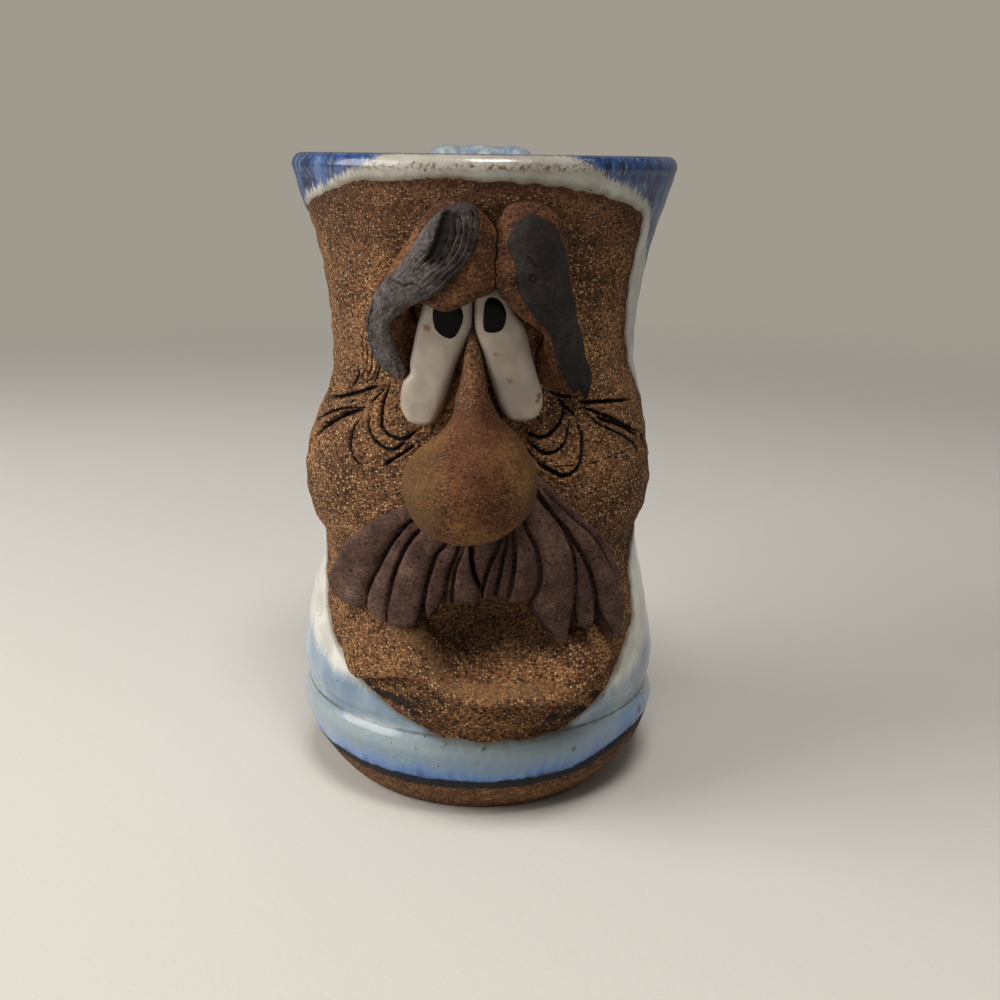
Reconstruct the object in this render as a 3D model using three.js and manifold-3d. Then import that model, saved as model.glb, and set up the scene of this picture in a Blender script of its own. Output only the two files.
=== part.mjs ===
// Face mug: a wheel-thrown stoneware mug with a modelled face on its front and a pulled
// strap handle on its back. Millimetres, +Z up. The face looks along -Y and the handle
// stands on the +Y side. The origin is the middle of the flat base, on the table.
// Left and right are the viewer's, looking at the face.

import * as THREE from 'three';
import { mergeVertices } from 'three/addons/utils/BufferGeometryUtils.js';
import Module from 'manifold-3d';

const wasm = await Module();
wasm.setup();

// Thrown body, heights from the table and radii from the axis
const mugHeight = 130;
const rimRadius = 38.3; // outside of the flared rim
const rimThickness = 4; // the rim is rounded over to half of this
const flareDrop = 8; // below the top, where the rim starts to turn out
const flareRadius = 36.6;
const neckDrop = 19;
const neckRadius = 33.3;
const waistHeight = 93;
const waistRadius = 31.2;
const lowWallHeight = 52;
const lowWallRadius = 33.4;
const bellyHeight = 27.5;
const bellyRadius = 38;
const grooveHeight = 20.6; // the turned groove over the foot bead
const grooveRadius = 36.8;
const grooveHalfWidth = 2.4;
const beadHeight = 15.5;
const beadRadius = 38.2;
const bevelHeight = 8; // bare bevel that the turning knife leaves under the bead
const bevelRadius = 36;
const footRound = 1.2; // height of the round that a finger left along the foot's edge
const footRoundRadius = 31.8; // radius of the foot at the top of that round
const footRadius = 29.4;
const grooveLip = 0.3; // how much the groove's two lips stay under the belly and the bead
const lowWallBulge = 0.1; // between the belly and the low wall, over a straight line
const wallThickness = 4.6;
const footThickening = 0.8; // how much thicker the wall is where it meets the floor
const floorThickness = 8;
const floorCorner = 9; // radius of the round between the floor and the wall inside

// Cheeks, pushed out from the inside while the clay was soft, and the mouth, pressed in
const cheekAngle = 68; // degrees from the front to the middle of each cheek
const cheekSpread = 55; // degrees from that middle to where the wall is plain again
const leftCheek = { out: 5.4, top: 86, crest: 68, bottom: 52.7 };
const rightCheek = { out: 4, top: 90, crest: 68, bottom: 54.5 };
const slackAbove = 1.3; // a cheek slopes off above its crest
const slackBelow = 0.8; // and tucks in more steeply under it
const mouthAngle = 9;
const mouthSpread = 24;
const mouthHeight = 42.5;
const mouthHalfHeight = 9.5;
const mouthDepth = 3.2;

// The face lies on a bare panel between the rim's glaze band and the foot's groove.
// Places on it are in hundredths of the panel's height: across from the front centre line,
// and up from the panel's foot.
const rimBand = 7; // glazed band from the top down to the panel
const panelFoot = grooveHeight + 2.4;
const faceUnit = (mugHeight - rimBand - panelFoot) / 100;
const wrapRadius = 34; // radius at which widths across the face are measured

// How far each applied piece of clay stands out from the wall, in the same hundredths
const eyeLift = 4;
const pupilLift = 0.9; // over the eye
const lidLift = 7.2;
const browLift = 1.7; // over the lid
const strandLift = 4.6;
const lipLift = 8.2;
const clayEdge = 0.6; // thinnest edge of a pressed piece, in millimetres
const tipWidth = 0.16; // share of its width that a rounded end keeps at the very tip
const tipHeight = 0.35; // share of its height that a rounded end keeps

// Pulled strap handle, its middle line in the plane behind the mug: out from the axis, up
const handleShift = -1; // the handle sits a little to the left of the centre line
const handleRoot = { out: 30, up: mugHeight - 14 };
const handleRise = { out: 41, up: mugHeight - 3 };
const handleTop = { out: 54, up: mugHeight - 3.4 };
const handleBack = { out: 69, up: 97 };
const handleTurn = { out: 62, up: 66 };
const handleEnd = { out: 33, up: 37 };
const handleTopWidth = 26;
const handleEndWidth = 21;
const handleThickness = 9;
const handleEndThickness = 7.5;
const handleFurrow = 1.6; // depth of the two furrows between its three ribs
const furrowSpacing = 0.68; // between the furrows' middles, as a share of the half width
const furrowReach = 0.7; // how far out from the middle the furrows go, as the same share
const furrowTurn = 0.2; // they lie on the strap's outer face, above this part of its thickness
const strapShoulder = 0.8; // the lower, the squarer the strap's sides
const strapBack = 0.7; // the lower, the flatter its faces

const jointGap = 0.3; // clearance between neighbouring pieces

// Facets
const bodySides = 52;
const wallStep = 6; // tallest facet of the outside, half of the tallest inside
const noseSides = 24;
const noseStep = 2.6;
const handleSides = 20;
const handleRings = 20;
const rimTurns = [45, 90, 135]; // places round the rim's section, in degrees from the outside
const cornerTurns = [30, 60, 90]; // places round the inside corner, down from the wall
const seatTurns = [45, 90];

const degrees = Math.PI / 180;
const { smoothstep, clamp } = THREE.MathUtils;

// Height on the mug of a place on the face panel
const onPanel = (up) => panelFoot + up * faceUnit;

// Value at x of the smooth curve through knots [x, value], sorted by x
function curveThrough(knots, x) {
  const last = knots.length - 1;
  let k = 0;
  while (k < last - 1 && x > knots[k + 1][0]) k += 1;
  const slope = (i) => {
    const a = knots[Math.max(i - 1, 0)];
    const b = knots[Math.min(i + 1, last)];
    return (b[1] - a[1]) / (b[0] - a[0]);
  };
  const [x0, y0] = knots[k];
  const [x1, y1] = knots[k + 1];
  const span = x1 - x0;
  const t = clamp((x - x0) / span, 0, 1);
  const a = (2 * t - 3) * t * t + 1;
  const b = (t - 2) * t * t + t;
  const c = (3 - 2 * t) * t * t;
  const d = (t - 1) * t * t;
  return a * y0 + b * span * slope(k) + c * y1 + d * span * slope(k + 1);
}

// Outside of the thrown wall: height, radius
const outerWall = [
  [0, footRadius],
  [footRound, footRoundRadius],
  [bevelHeight, bevelRadius],
  [beadHeight, beadRadius],
  [grooveHeight - grooveHalfWidth, beadRadius - grooveLip],
  [grooveHeight, grooveRadius],
  [grooveHeight + grooveHalfWidth, bellyRadius - grooveLip],
  [bellyHeight, bellyRadius],
  [(bellyHeight + lowWallHeight) / 2, (bellyRadius + lowWallRadius) / 2 + lowWallBulge],
  [lowWallHeight, lowWallRadius],
  [waistHeight, waistRadius],
  [mugHeight - neckDrop, neckRadius],
  [mugHeight - flareDrop, flareRadius],
  [mugHeight - rimThickness / 2, rimRadius],
];

// Inside of the wall, which passes the groove and the bead by
const innerWall = [
  [floorThickness + floorCorner, beadRadius - wallThickness - footThickening],
  [bellyHeight, bellyRadius - wallThickness],
  [lowWallHeight, lowWallRadius - wallThickness],
  [waistHeight, waistRadius - wallThickness],
  [mugHeight - neckDrop, neckRadius - wallThickness],
  [mugHeight - rimThickness / 2, rimRadius - rimThickness],
];

// How far the potter's fingers moved the wall out or in at an angle (radians) and height
function push(angle, z) {
  const { out, top, crest, bottom } = angle < 0 ? leftCheek : rightCheek;
  const side = (Math.abs(angle) / degrees - cheekAngle) / cheekSpread;
  const up = (z - crest) / (z > crest ? top - crest : crest - bottom);
  const slack = z > crest ? slackAbove : slackBelow;
  const cheek = out * Math.max(0, 1 - side * side) ** 2 * Math.max(0, 1 - up * up) ** slack;
  const across = (angle / degrees - mouthAngle) / mouthSpread;
  const over = (z - mouthHeight) / mouthHalfHeight;
  const mouth = mouthDepth * Math.max(0, 1 - across * across) * Math.max(0, 1 - over * over);
  return cheek - mouth;
}

const wallRadius = (angle, z) => curveThrough(outerWall, z) + push(angle, z);

// Point at an angle from the front (positive to the right), a radius and a height
const roundPoint = (angle, radius, z) => new THREE.Vector3(
  radius * Math.sin(angle), -radius * Math.cos(angle), z);

// Point over the wall: across the face and up its panel, standing out by lift
function overWall(across, up, lift) {
  const angle = (across * faceUnit) / wrapRadius;
  const z = onPanel(up);
  return roundPoint(angle, wallRadius(angle, z) + lift, z);
}

// Heights that divide each span between knots into parts no taller than step
function heightsAlong(knots, step) {
  const heights = [knots[0][0]];
  for (let i = 1; i < knots.length; i += 1) {
    const from = knots[i - 1][0];
    const to = knots[i][0];
    const parts = Math.max(1, Math.round((to - from) / step));
    for (let p = 1; p <= parts; p += 1) heights.push(from + ((to - from) * p) / parts);
  }
  return heights;
}

// Closed geometry from points and triangles, turned so that its faces point out
function closedGeometry(points, triangles) {
  let volume = 0;
  for (const [a, b, c] of triangles) {
    volume += points[a].dot(new THREE.Vector3().crossVectors(points[b], points[c]));
  }
  const ordered = volume < 0 ? triangles.map(([a, b, c]) => [a, c, b]) : triangles;
  const geometry = new THREE.BufferGeometry().setFromPoints(points);
  geometry.setIndex(ordered.flat());
  return geometry;
}

// Skin over a row of closed rings, ending in a point at each end
function loft(start, rings, end) {
  const sides = rings[0].length;
  const points = [start, ...rings.flat(), end];
  const triangles = [];
  for (let j = 0; j < sides; j += 1) {
    const next = (j + 1) % sides;
    triangles.push([0, 1 + next, 1 + j]);
    for (let i = 0; i < rings.length - 1; i += 1) {
      const low = 1 + i * sides;
      const high = low + sides;
      triangles.push([low + j, low + next, high + next], [low + j, high + next, high + j]);
    }
    const top = 1 + (rings.length - 1) * sides;
    triangles.push([top + j, top + next, points.length - 1]);
  }
  return closedGeometry(points, triangles);
}

// Clay pressed onto the wall along a middle line. Each station is
// [across, up, half width, lift]; section(s) shapes the lift from side to side, with s from
// -1 on the right of the line to 1 on its left; ends are the lengths over which the two
// ends round off. It reaches into the wall, which then cuts it back to its seat.
function pressedClay(shape, grow = 0) {
  const { stations, section, rows, columns, ends } = shape;
  const last = stations.length - 1;
  const knots = (n) => stations.map((station, i) => [i / last, station[n]]);
  const [across, up, width, lift] = [0, 1, 2, 3].map(knots);
  const middle = (t) => new THREE.Vector2(curveThrough(across, t), curveThrough(up, t));
  const top = [];
  const bottom = [];
  for (let i = 0; i <= rows; i += 1) {
    const t = (1 - Math.cos((Math.PI * i) / rows)) / 2;
    const place = middle(t);
    const ahead = middle(Math.min(1, t + 0.01));
    const along = ahead.sub(middle(Math.max(0, t - 0.01))).normalize();
    place.addScaledVector(along, (2 * t - 1) * (grow / faceUnit));
    const fromStart = t * last * middle(0).distanceTo(middle(1 / last));
    const fromEnd = (1 - t) * last * middle(1).distanceTo(middle(1 - 1 / last));
    const round = (distance, length) => {
      const left = clamp(1 - distance / Math.max(length, 0.001), 0, 1);
      return length > 0 ? Math.sqrt(1 - left * left) : 1;
    };
    const cap = Math.max(tipWidth, Math.min(round(fromStart, ends[0]), round(fromEnd, ends[1])));
    const half = curveThrough(width, t) * cap + grow / faceUnit;
    const high = curveThrough(lift, t) * faceUnit * (tipHeight + (1 - tipHeight) * cap);
    for (let j = 0; j <= columns; j += 1) {
      const s = -Math.cos((Math.PI * j) / columns);
      const a = place.x - along.y * s * half;
      const b = place.y + along.x * s * half;
      const stand = Math.max(clayEdge, high * section(s)) + jointGap + grow;
      top.push(overWall(a, b, stand));
      bottom.push(overWall(a, b, -wallThickness / 2 - grow));
    }
  }
  return gridSlab(top, bottom, rows, columns);
}

// Closed slab between two grids of points that share their layout
function gridSlab(top, bottom, rows, columns) {
  const points = [...top, ...bottom];
  const wide = columns + 1;
  const under = top.length;
  const triangles = [];
  const quad = (a, b, c, d) => triangles.push([a, b, c], [a, c, d]);
  for (let i = 0; i < rows; i += 1) {
    for (let j = 0; j < columns; j += 1) {
      const a = i * wide + j;
      quad(a, a + 1, a + wide + 1, a + wide);
      quad(under + a, under + a + wide, under + a + wide + 1, under + a + 1);
    }
    const left = i * wide;
    const right = left + columns;
    quad(left, left + wide, under + left + wide, under + left);
    quad(right + wide, right, under + right, under + right + wide);
  }
  const lastRow = rows * wide;
  for (let j = 0; j < columns; j += 1) {
    quad(j + 1, j, under + j, under + j + 1);
    quad(lastRow + j, lastRow + j + 1, under + lastRow + j + 1, under + lastRow + j);
  }
  return closedGeometry(points, triangles);
}

// Solid of a closed geometry, for cutting and joining
function solidOf(geometry) {
  const merged = mergeVertices(geometry, 1e-4);
  const mesh = new wasm.Mesh({
    numProp: 3,
    vertProperties: new Float32Array(merged.attributes.position.array),
    triVerts: new Uint32Array(merged.index.array),
  });
  return new wasm.Manifold(mesh);
}

// Geometry of a solid's largest piece, so that a crumb cut loose falls away
function geometryOf(solid) {
  const pieces = solid.decompose();
  const largest = pieces.reduce((a, b) => (b.volume() > a.volume() ? b : a));
  const mesh = largest.getMesh();
  const geometry = new THREE.BufferGeometry();
  geometry.setAttribute('position', new THREE.BufferAttribute(mesh.vertProperties, 3));
  geometry.setIndex(new THREE.BufferAttribute(mesh.triVerts, 1));
  return geometry;
}

const cut = (solid, cutters) => cutters.reduce((rest, cutter) => rest.subtract(cutter), solid);

// One ring of the body at a height, moved by the cheeks and the mouth where it is wall
function bodyRing(radius, z, moved) {
  return Array.from({ length: bodySides }, (_, j) => {
    const angle = (2 * Math.PI * j) / bodySides;
    const signed = angle > Math.PI ? angle - 2 * Math.PI : angle;
    return roundPoint(angle, radius + (moved ? push(signed, z) : 0), z);
  });
}

// Rings round the lip of the rim at some angles of its section, from 0 on the outside
function rimRings(angles, grow) {
  return angles.map((angle) => {
    const reach = (rimThickness / 2 + grow) * Math.cos(angle * degrees);
    const rise = (rimThickness / 2 + grow) * Math.sin(angle * degrees);
    const radius = rimRadius - rimThickness / 2 + reach;
    return bodyRing(radius, mugHeight - rimThickness / 2 + rise, false);
  });
}

// Thrown body: flat base, foot bead, groove, belly, waist and flared rim, open at the top
function mugBody() {
  const rings = heightsAlong(outerWall, wallStep).map(
    (z) => bodyRing(curveThrough(outerWall, z), z, true));
  rings.push(...rimRings(rimTurns, 0));
  for (const z of heightsAlong(innerWall, 2 * wallStep).reverse()) {
    rings.push(bodyRing(curveThrough(innerWall, z), z, true));
  }
  const cornerRadius = innerWall[0][1] - floorCorner;
  for (const angle of cornerTurns) {
    const reach = floorCorner * Math.cos(angle * degrees);
    const drop = floorCorner * Math.sin(angle * degrees);
    rings.push(bodyRing(cornerRadius + reach, innerWall[0][0] - drop, false));
  }
  const base = new THREE.Vector3(0, 0, 0);
  const floor = new THREE.Vector3(0, 0, floorThickness);
  return loft(base, rings, floor);
}

// The body's outside as a full solid, grown by the joint gap, that cuts what seats on it
function bodyCutter() {
  const rings = heightsAlong(outerWall, wallStep).map(
    (z) => bodyRing(curveThrough(outerWall, z) + jointGap, z, true));
  rings.push(...rimRings(seatTurns, jointGap));
  const top = new THREE.Vector3(0, 0, mugHeight + jointGap);
  return solidOf(loft(new THREE.Vector3(0, 0, 0), rings, top));
}

// Nose: a pear-shaped bulb on a narrow bridge that runs up between the eyes. Stations are
// [up, half width, middle's stand-out from the wall, half depth].
const noseAcross = -1.5;
const noseTip = 1.2; // how far the bulb's round closes below its first station
const nosePeak = 0.8; // and the bridge's above its last
const noseStations = [
  [39.5, 6, 8.8, 6.4],
  [43, 9.7, 9.1, 9.6],
  [48.5, 11.6, 9.2, 11.2],
  [54, 10.2, 7.8, 10.5],
  [59.5, 5.8, 4.6, 7.3],
  [67, 3.5, 2.3, 4.6],
  [74.5, 1.6, 1.1, 2.2],
];
function noseSolid(grow = 0) {
  const column = (n) => noseStations.map((station) => [station[0], station[n]]);
  const [width, out, depth] = [1, 2, 3].map(column);
  const ringAt = (up) => {
    const centre = overWall(noseAcross, up, curveThrough(out, up) * faceUnit);
    const half = curveThrough(width, up) * faceUnit + grow;
    const deep = curveThrough(depth, up) * faceUnit + grow;
    return Array.from({ length: noseSides }, (_, j) => {
      const angle = (2 * Math.PI * j) / noseSides;
      return new THREE.Vector3(half * Math.sin(angle), -deep * Math.cos(angle), 0).add(centre);
    });
  };
  const rings = heightsAlong(noseStations, noseStep).map(ringAt);
  const [lowest, highest] = [noseStations[0], noseStations.at(-1)];
  const tip = overWall(noseAcross, lowest[0] - noseTip, lowest[2] * faceUnit);
  const peak = overWall(noseAcross, highest[0] + nosePeak, highest[2] * faceUnit);
  tip.z -= grow;
  peak.z += grow;
  return solidOf(loft(tip, rings, peak));
}

const roundSection = (s) => Math.sqrt(1 - 0.94 * s * s);

// Eyes: tapered tongues of white clay that lean out from under the lids
const leftEye = {
  stations: [[-6.3, 84, 5.2, eyeLift], [-7, 76, 5.6, eyeLift], [-9.4, 67, 4.8, eyeLift],
    [-10.4, 58.8, 4.2, eyeLift]],
  section: (s) => 0.3 + 0.7 * roundSection(s),
  rows: 12,
  columns: 8,
  ends: [2, 4.2],
};
const rightEye = {
  ...leftEye,
  stations: [[2.7, 83.6, 4, eyeLift], [3.6, 76.5, 4.4, eyeLift], [6.4, 68, 4.8, eyeLift],
    [7.6, 60, 4.6, eyeLift]],
};

// Pupils: small black buttons on the eyes, [across, up, half width, half height]
const leftPupil = [-5.5, 77.6, 2.8, 3.5];
const rightPupil = [2.3, 79.2, 2.1, 3.4];
function pupilShape([across, up, half, tall]) {
  const lift = eyeLift + pupilLift;
  return {
    stations: [[across, up + tall, half, lift], [across, up, half, lift],
      [across, up - tall, half, lift]],
    section: (s) => 0.86 + 0.14 * roundSection(s),
    rows: 8,
    columns: 6,
    ends: [tall * 0.9, tall],
  };
}

// Hooded lids: thick at the edge that hangs over the eye, feathered out on the forehead
function hood(s) {
  return 0.2 + 0.8 * smoothstep(s, -1, 0.5) - 0.3 * Math.max(0, s - 0.5);
}
const leftLid = {
  stations: [[2.2, 90.2, 6.3, lidLift - 1], [-3, 90.2, 9.3, lidLift], [-9, 89.6, 8.6, lidLift],
    [-14.4, 85.6, 6.6, lidLift - 0.6], [-18.2, 79.4, 5, lidLift - 1.8],
    [-19.6, 72.4, 4.7, lidLift - 2.8], [-17.6, 64.2, 3.8, lidLift - 3.8]],
  section: hood,
  rows: 14,
  columns: 7,
  ends: [0, 3.5],
};
const rightLid = {
  ...leftLid,
  stations: [[2.5, 90.6, 6.3, lidLift - 1], [5.6, 90.4, 8.2, lidLift], [9.8, 87, 8.8, lidLift],
    [13.8, 81.4, 7, lidLift - 0.6], [17, 76.4, 5.4, lidLift - 1.6],
    [18.9, 70.8, 4.6, lidLift - 2.6], [19.9, 63.4, 4.1, lidLift - 3.8]],
  section: (s) => hood(-s),
};

// Brows: slips of darker clay laid over the lids and down past their outer ends
const browStand = lidLift + browLift;
const leftBrow = {
  stations: [[-2.4, 97.4, 3, browStand - 1.4], [-5, 93.8, 4.6, browStand], [-8, 89.3, 5, browStand],
    [-12, 84.9, 4.3, browStand - 0.4], [-16.2, 81, 3.5, browStand - 1.4],
    [-18.9, 75.4, 3.3, browStand - 2.2], [-18.2, 69.2, 3.3, browStand - 3.2],
    [-16.4, 63.6, 2.4, browStand - 4.6]],
  section: (s) => 0.62 + 0.38 * smoothstep(s, -1, 0.4),
  rows: 14,
  columns: 6,
  ends: [2.5, 2.5],
};
const rightBrow = {
  ...leftBrow,
  stations: [[8.4, 97.6, 2.8, browStand - 1.4], [8.6, 94, 3.8, browStand], [9.8, 89.4, 4.8, browStand],
    [11.2, 84.7, 4.7, browStand], [13.4, 81.2, 4.4, browStand - 0.4],
    [16.1, 77.6, 3.8, browStand - 1.4], [17.5, 73.5, 3.3, browStand - 2.2],
    [18.6, 67.7, 3.2, browStand - 3.2], [19.6, 62.8, 2.5, browStand - 4.6]],
  section: (s) => 0.62 + 0.38 * smoothstep(-s, -1, 0.4),
};

// Moustache: rolled strands that fan out from under the nose and droop at the sides.
// Each strand has its root and its blunt tip: [across, up, half width].
const leftStrands = [
  { root: [-9.6, 44.6, 2], tip: [-26.4, 22.6, 3.8] },
  { root: [-8, 42, 1.7], tip: [-18.4, 19.2, 3.1] },
  { root: [-6.2, 40.8, 1.6], tip: [-12.8, 18.8, 3.1] },
  { root: [-4.6, 40.2, 1.4], tip: [-8.2, 21.2, 2.4] },
  { root: [-3, 39.8, 1.2], tip: [-4.7, 24.4, 1.9] },
  { root: [-1.2, 39.6, 1.4], tip: [-1.3, 24.6, 2.6] },
];
const rightStrands = [
  { root: [0.8, 39.6, 1.3], tip: [2.6, 25, 2.4] },
  { root: [2.6, 39.8, 1.3], tip: [6.2, 24.6, 2.3] },
  { root: [4.4, 40.6, 1.4], tip: [10, 23, 2.5] },
  { root: [6.4, 42.2, 1.6], tip: [14.2, 16.4, 2.9] },
  { root: [8.2, 45, 1.9], tip: [19.9, 18.2, 3.1] },
  { root: [10, 49, 2.2], tip: [27, 14.4, 3.1] },
];
const strandSection = (s) => 0.35 + 0.65 * roundSection(s);
function strandShape({ root, tip }) {
  const sweep = 0.62; // a strand runs outward first and droops later
  const mid = [
    root[0] + (tip[0] - root[0]) * sweep,
    root[1] + (tip[1] - root[1]) * (1 - sweep),
    (root[2] + tip[2]) / 2,
  ];
  return {
    stations: [[...root, strandLift], [...mid, strandLift], [...tip, strandLift * 0.86]],
    section: strandSection,
    rows: 6,
    columns: 4,
    ends: [0, tip[2] * 0.9],
  };
}

// Lower lip: a slab that starts as a flat chin on the left, rolls out into a ledge under
// the open mouth and dies away on the right
function ledge(s) {
  return 0.3 + 0.7 * (smoothstep(s, -1.35, -0.55) - 0.9 * smoothstep(s, -0.5, 1.05));
}
const lowerLip = {
  stations: [[-30, 12.6, 3, 1.6], [-23.7, 13.4, 6.8, 3], [-16.6, 14.4, 6.9, 3.4],
    [-10.1, 13.6, 6.3, 4.6], [-4.7, 10.1, 5, 6.6], [1.8, 8.5, 4.6, lipLift],
    [8.9, 7.4, 4.4, lipLift], [14.8, 8, 4.9, 7.2], [20.2, 9.8, 4.8, 4.6], [25, 11.8, 3.4, 2.6],
    [29, 13.2, 1.8, 1.4]],
  section: ledge,
  rows: 20,
  columns: 7,
  ends: [4, 4],
};

// Handle: a flat three-ribbed strap that rises over the rim, swings out for the fingers
// and comes back to the lower wall
function handleSolid() {
  const places = [handleRoot, handleRise, handleTop, handleBack, handleTurn, handleEnd];
  const points = places.map(({ out, up }) => new THREE.Vector3(handleShift, out, up));
  const path = new THREE.CatmullRomCurve3(points, false, 'centripetal');
  const section = (t) => {
    const centre = path.getPoint(t);
    const along = path.getTangent(t);
    const outward = new THREE.Vector3(0, -along.z, along.y);
    const half = (handleTopWidth + (handleEndWidth - handleTopWidth) * t) / 2;
    const thick = (handleThickness + (handleEndThickness - handleThickness) * t) / 2;
    return Array.from({ length: handleSides }, (_, j) => {
      const angle = (2 * Math.PI * j) / handleSides;
      const side = Math.sign(Math.cos(angle)) * Math.abs(Math.cos(angle)) ** strapShoulder;
      const rise = Math.sign(Math.sin(angle)) * Math.abs(Math.sin(angle)) ** strapBack;
      const rib = (1 - Math.cos((2 * Math.PI * side) / furrowSpacing)) / 2;
      const furrowed = Math.sin(angle) > furrowTurn && Math.abs(side) < furrowReach;
      const inward = furrowed ? rib * handleFurrow : 0;
      return centre.clone()
        .add(new THREE.Vector3(side * half, 0, 0))
        .addScaledVector(outward, rise * thick - inward);
    });
  };
  const rings = Array.from({ length: handleRings + 1 }, (_, i) => section(i / handleRings));
  return solidOf(loft(path.getPoint(0), rings, path.getPoint(1)));
}

// Clays and glazes
const groggedClay = { color: '#7a5230', roughness: 0.92 };
const darkClay = { color: '#4a3630', roughness: 0.85 };
const browClay = { color: '#4f4844', roughness: 0.88 };
const ironClay = { color: '#6d3f22', roughness: 0.85 };
const whiteClay = { color: '#cfc9c0', roughness: 0.55 };
const blackGlaze = { color: '#0b0a0a', roughness: 0.12 };
const blueGlaze = { color: '#9fb4cc', roughness: 0.28 };

function piece(name, geometry, finish) {
  const material = new THREE.MeshStandardMaterial({ ...finish, metalness: 0 });
  const mesh = new THREE.Mesh(geometry, material);
  mesh.name = name;
  return mesh;
}

const body = bodyCutter();
const clay = (shape) => solidOf(pressedClay(shape)).subtract(body);
const grown = (shape) => solidOf(pressedClay(shape, jointGap));
const noseCutter = noseSolid(jointGap);
const eyeCutters = [grown(leftEye), grown(rightEye)];
const pupilCutters = [grown(pupilShape(leftPupil)), grown(pupilShape(rightPupil))];
const lidCutters = [grown(leftLid), grown(rightLid)];
const lipCutter = grown(lowerLip);

// The strands of one half of the moustache, rolled together
const strandsJoined = (strands) => strands.map(strandShape).map(clay).reduce((a, b) => a.add(b));

const parts = [
  ['mug_body', solidOf(mugBody()), blueGlaze],
  ['handle', cut(handleSolid(), [body]), blueGlaze],
  ['nose', cut(noseSolid(), [body, ...eyeCutters]), groggedClay],
  ['left_eye', cut(clay(leftEye), [eyeCutters[1]]), whiteClay],
  ['right_eye', clay(rightEye), whiteClay],
  ['left_pupil', cut(clay(pupilShape(leftPupil)), eyeCutters), blackGlaze],
  ['right_pupil', cut(clay(pupilShape(rightPupil)), eyeCutters), blackGlaze],
  ['left_eyelid', cut(clay(leftLid), [...eyeCutters, ...pupilCutters, lidCutters[1]]), ironClay],
  ['right_eyelid', cut(clay(rightLid), [...eyeCutters, ...pupilCutters]), ironClay],
  ['left_eyebrow', cut(clay(leftBrow), lidCutters), browClay],
  ['right_eyebrow', cut(clay(rightBrow), lidCutters), browClay],
  ['moustache_left', cut(strandsJoined(leftStrands),
    [noseCutter, lipCutter, grown(strandShape(rightStrands[0]))]), darkClay],
  ['moustache_right', cut(strandsJoined(rightStrands), [noseCutter, lipCutter]), darkClay],
  ['lower_lip', clay(lowerLip), groggedClay],
];

const group = new THREE.Group();
for (const [name, solid, finish] of parts) group.add(piece(name, geometryOf(solid), finish));

export default group;
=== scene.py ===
import math

import bpy
import numpy as np
from mathutils import Matrix, Vector
from mathutils.kdtree import KDTree


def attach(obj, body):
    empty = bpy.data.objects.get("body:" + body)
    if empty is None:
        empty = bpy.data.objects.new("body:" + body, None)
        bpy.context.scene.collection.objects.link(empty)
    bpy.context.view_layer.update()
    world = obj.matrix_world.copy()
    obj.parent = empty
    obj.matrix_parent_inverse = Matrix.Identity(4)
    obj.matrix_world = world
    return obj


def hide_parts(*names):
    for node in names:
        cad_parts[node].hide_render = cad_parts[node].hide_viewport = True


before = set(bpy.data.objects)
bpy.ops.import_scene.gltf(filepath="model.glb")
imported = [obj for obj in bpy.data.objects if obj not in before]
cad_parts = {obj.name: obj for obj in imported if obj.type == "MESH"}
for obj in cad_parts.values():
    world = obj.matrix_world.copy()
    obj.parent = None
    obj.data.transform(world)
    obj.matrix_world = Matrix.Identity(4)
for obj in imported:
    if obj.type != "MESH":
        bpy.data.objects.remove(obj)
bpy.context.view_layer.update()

# Lengths are in millimetres until a piece is placed. The face looks along -Y and +Z is up.
# Across runs round the wall to the viewer's right, measured at a radius of 34, and up runs
# from the foot of the bare panel.
wrapRadius = 34
panelFoot = 23

thrownBody = {
    "outside": [(0, 28.6), (2, 31.1), (8, 35.5), (15.5, 38.2), (18.2, 37.9), (20.6, 36.8), (23, 37.7), (27.5, 38),
                (39.75, 35.8), (52, 33.4), (93, 31.2), (111, 33.3), (122, 36.6), (128, 38.3)],
    "inside": [(17, 32.8), (27.5, 33.4), (52, 28.8), (93, 26.6), (111, 28.7), (128, 34.3)],
    "rimMiddle": (128, 36.3),
    "rimRound": 2,
    "floor": 8,
    "floorRound": 9,
    "frontColumns": 162,  # columns over the face, from one side of it to the other
    "backColumns": 56,
    "frontAngle": 82,
    "throwingRing": 0.12,  # height of the spiral that the fingers leave
    "glazeCoat": 0.32,
    # how far each cheek is pushed out, its top, its crest and its bottom
    "leftCheek": (5.4, 86, 68, 53.8),
    "rightCheek": (4, 90, 68, 55.2),
    "hollow": (10, 24, 40.5, 8.5, 2.2),  # the mouth's: angle, spread, height, half height, depth
}


def through(knots, x):
    # smooth curve through knots (x, value), as in the thrown profile
    xs, ys = np.array(knots, float).T
    last = len(xs) - 1
    k = np.clip(np.searchsorted(xs, x, side="left") - 1, 0, last - 1)
    slopes = np.array([(ys[min(i + 1, last)] - ys[max(i - 1, 0)]) / (xs[min(i + 1, last)] - xs[max(i - 1, 0)])
                       for i in range(last + 1)])
    span = xs[k + 1] - xs[k]
    t = np.clip((x - xs[k]) / span, 0, 1)
    return (((2 * t - 3) * t * t + 1) * ys[k] + ((t - 2) * t * t + t) * span * slopes[k]
            + (3 - 2 * t) * t * t * ys[k + 1] + (t - 1) * t * t * span * slopes[k + 1])


def ease(low, high, x):
    t = np.clip((x - low) / (high - low), 0, 1)
    return t * t * (3 - 2 * t)


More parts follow.
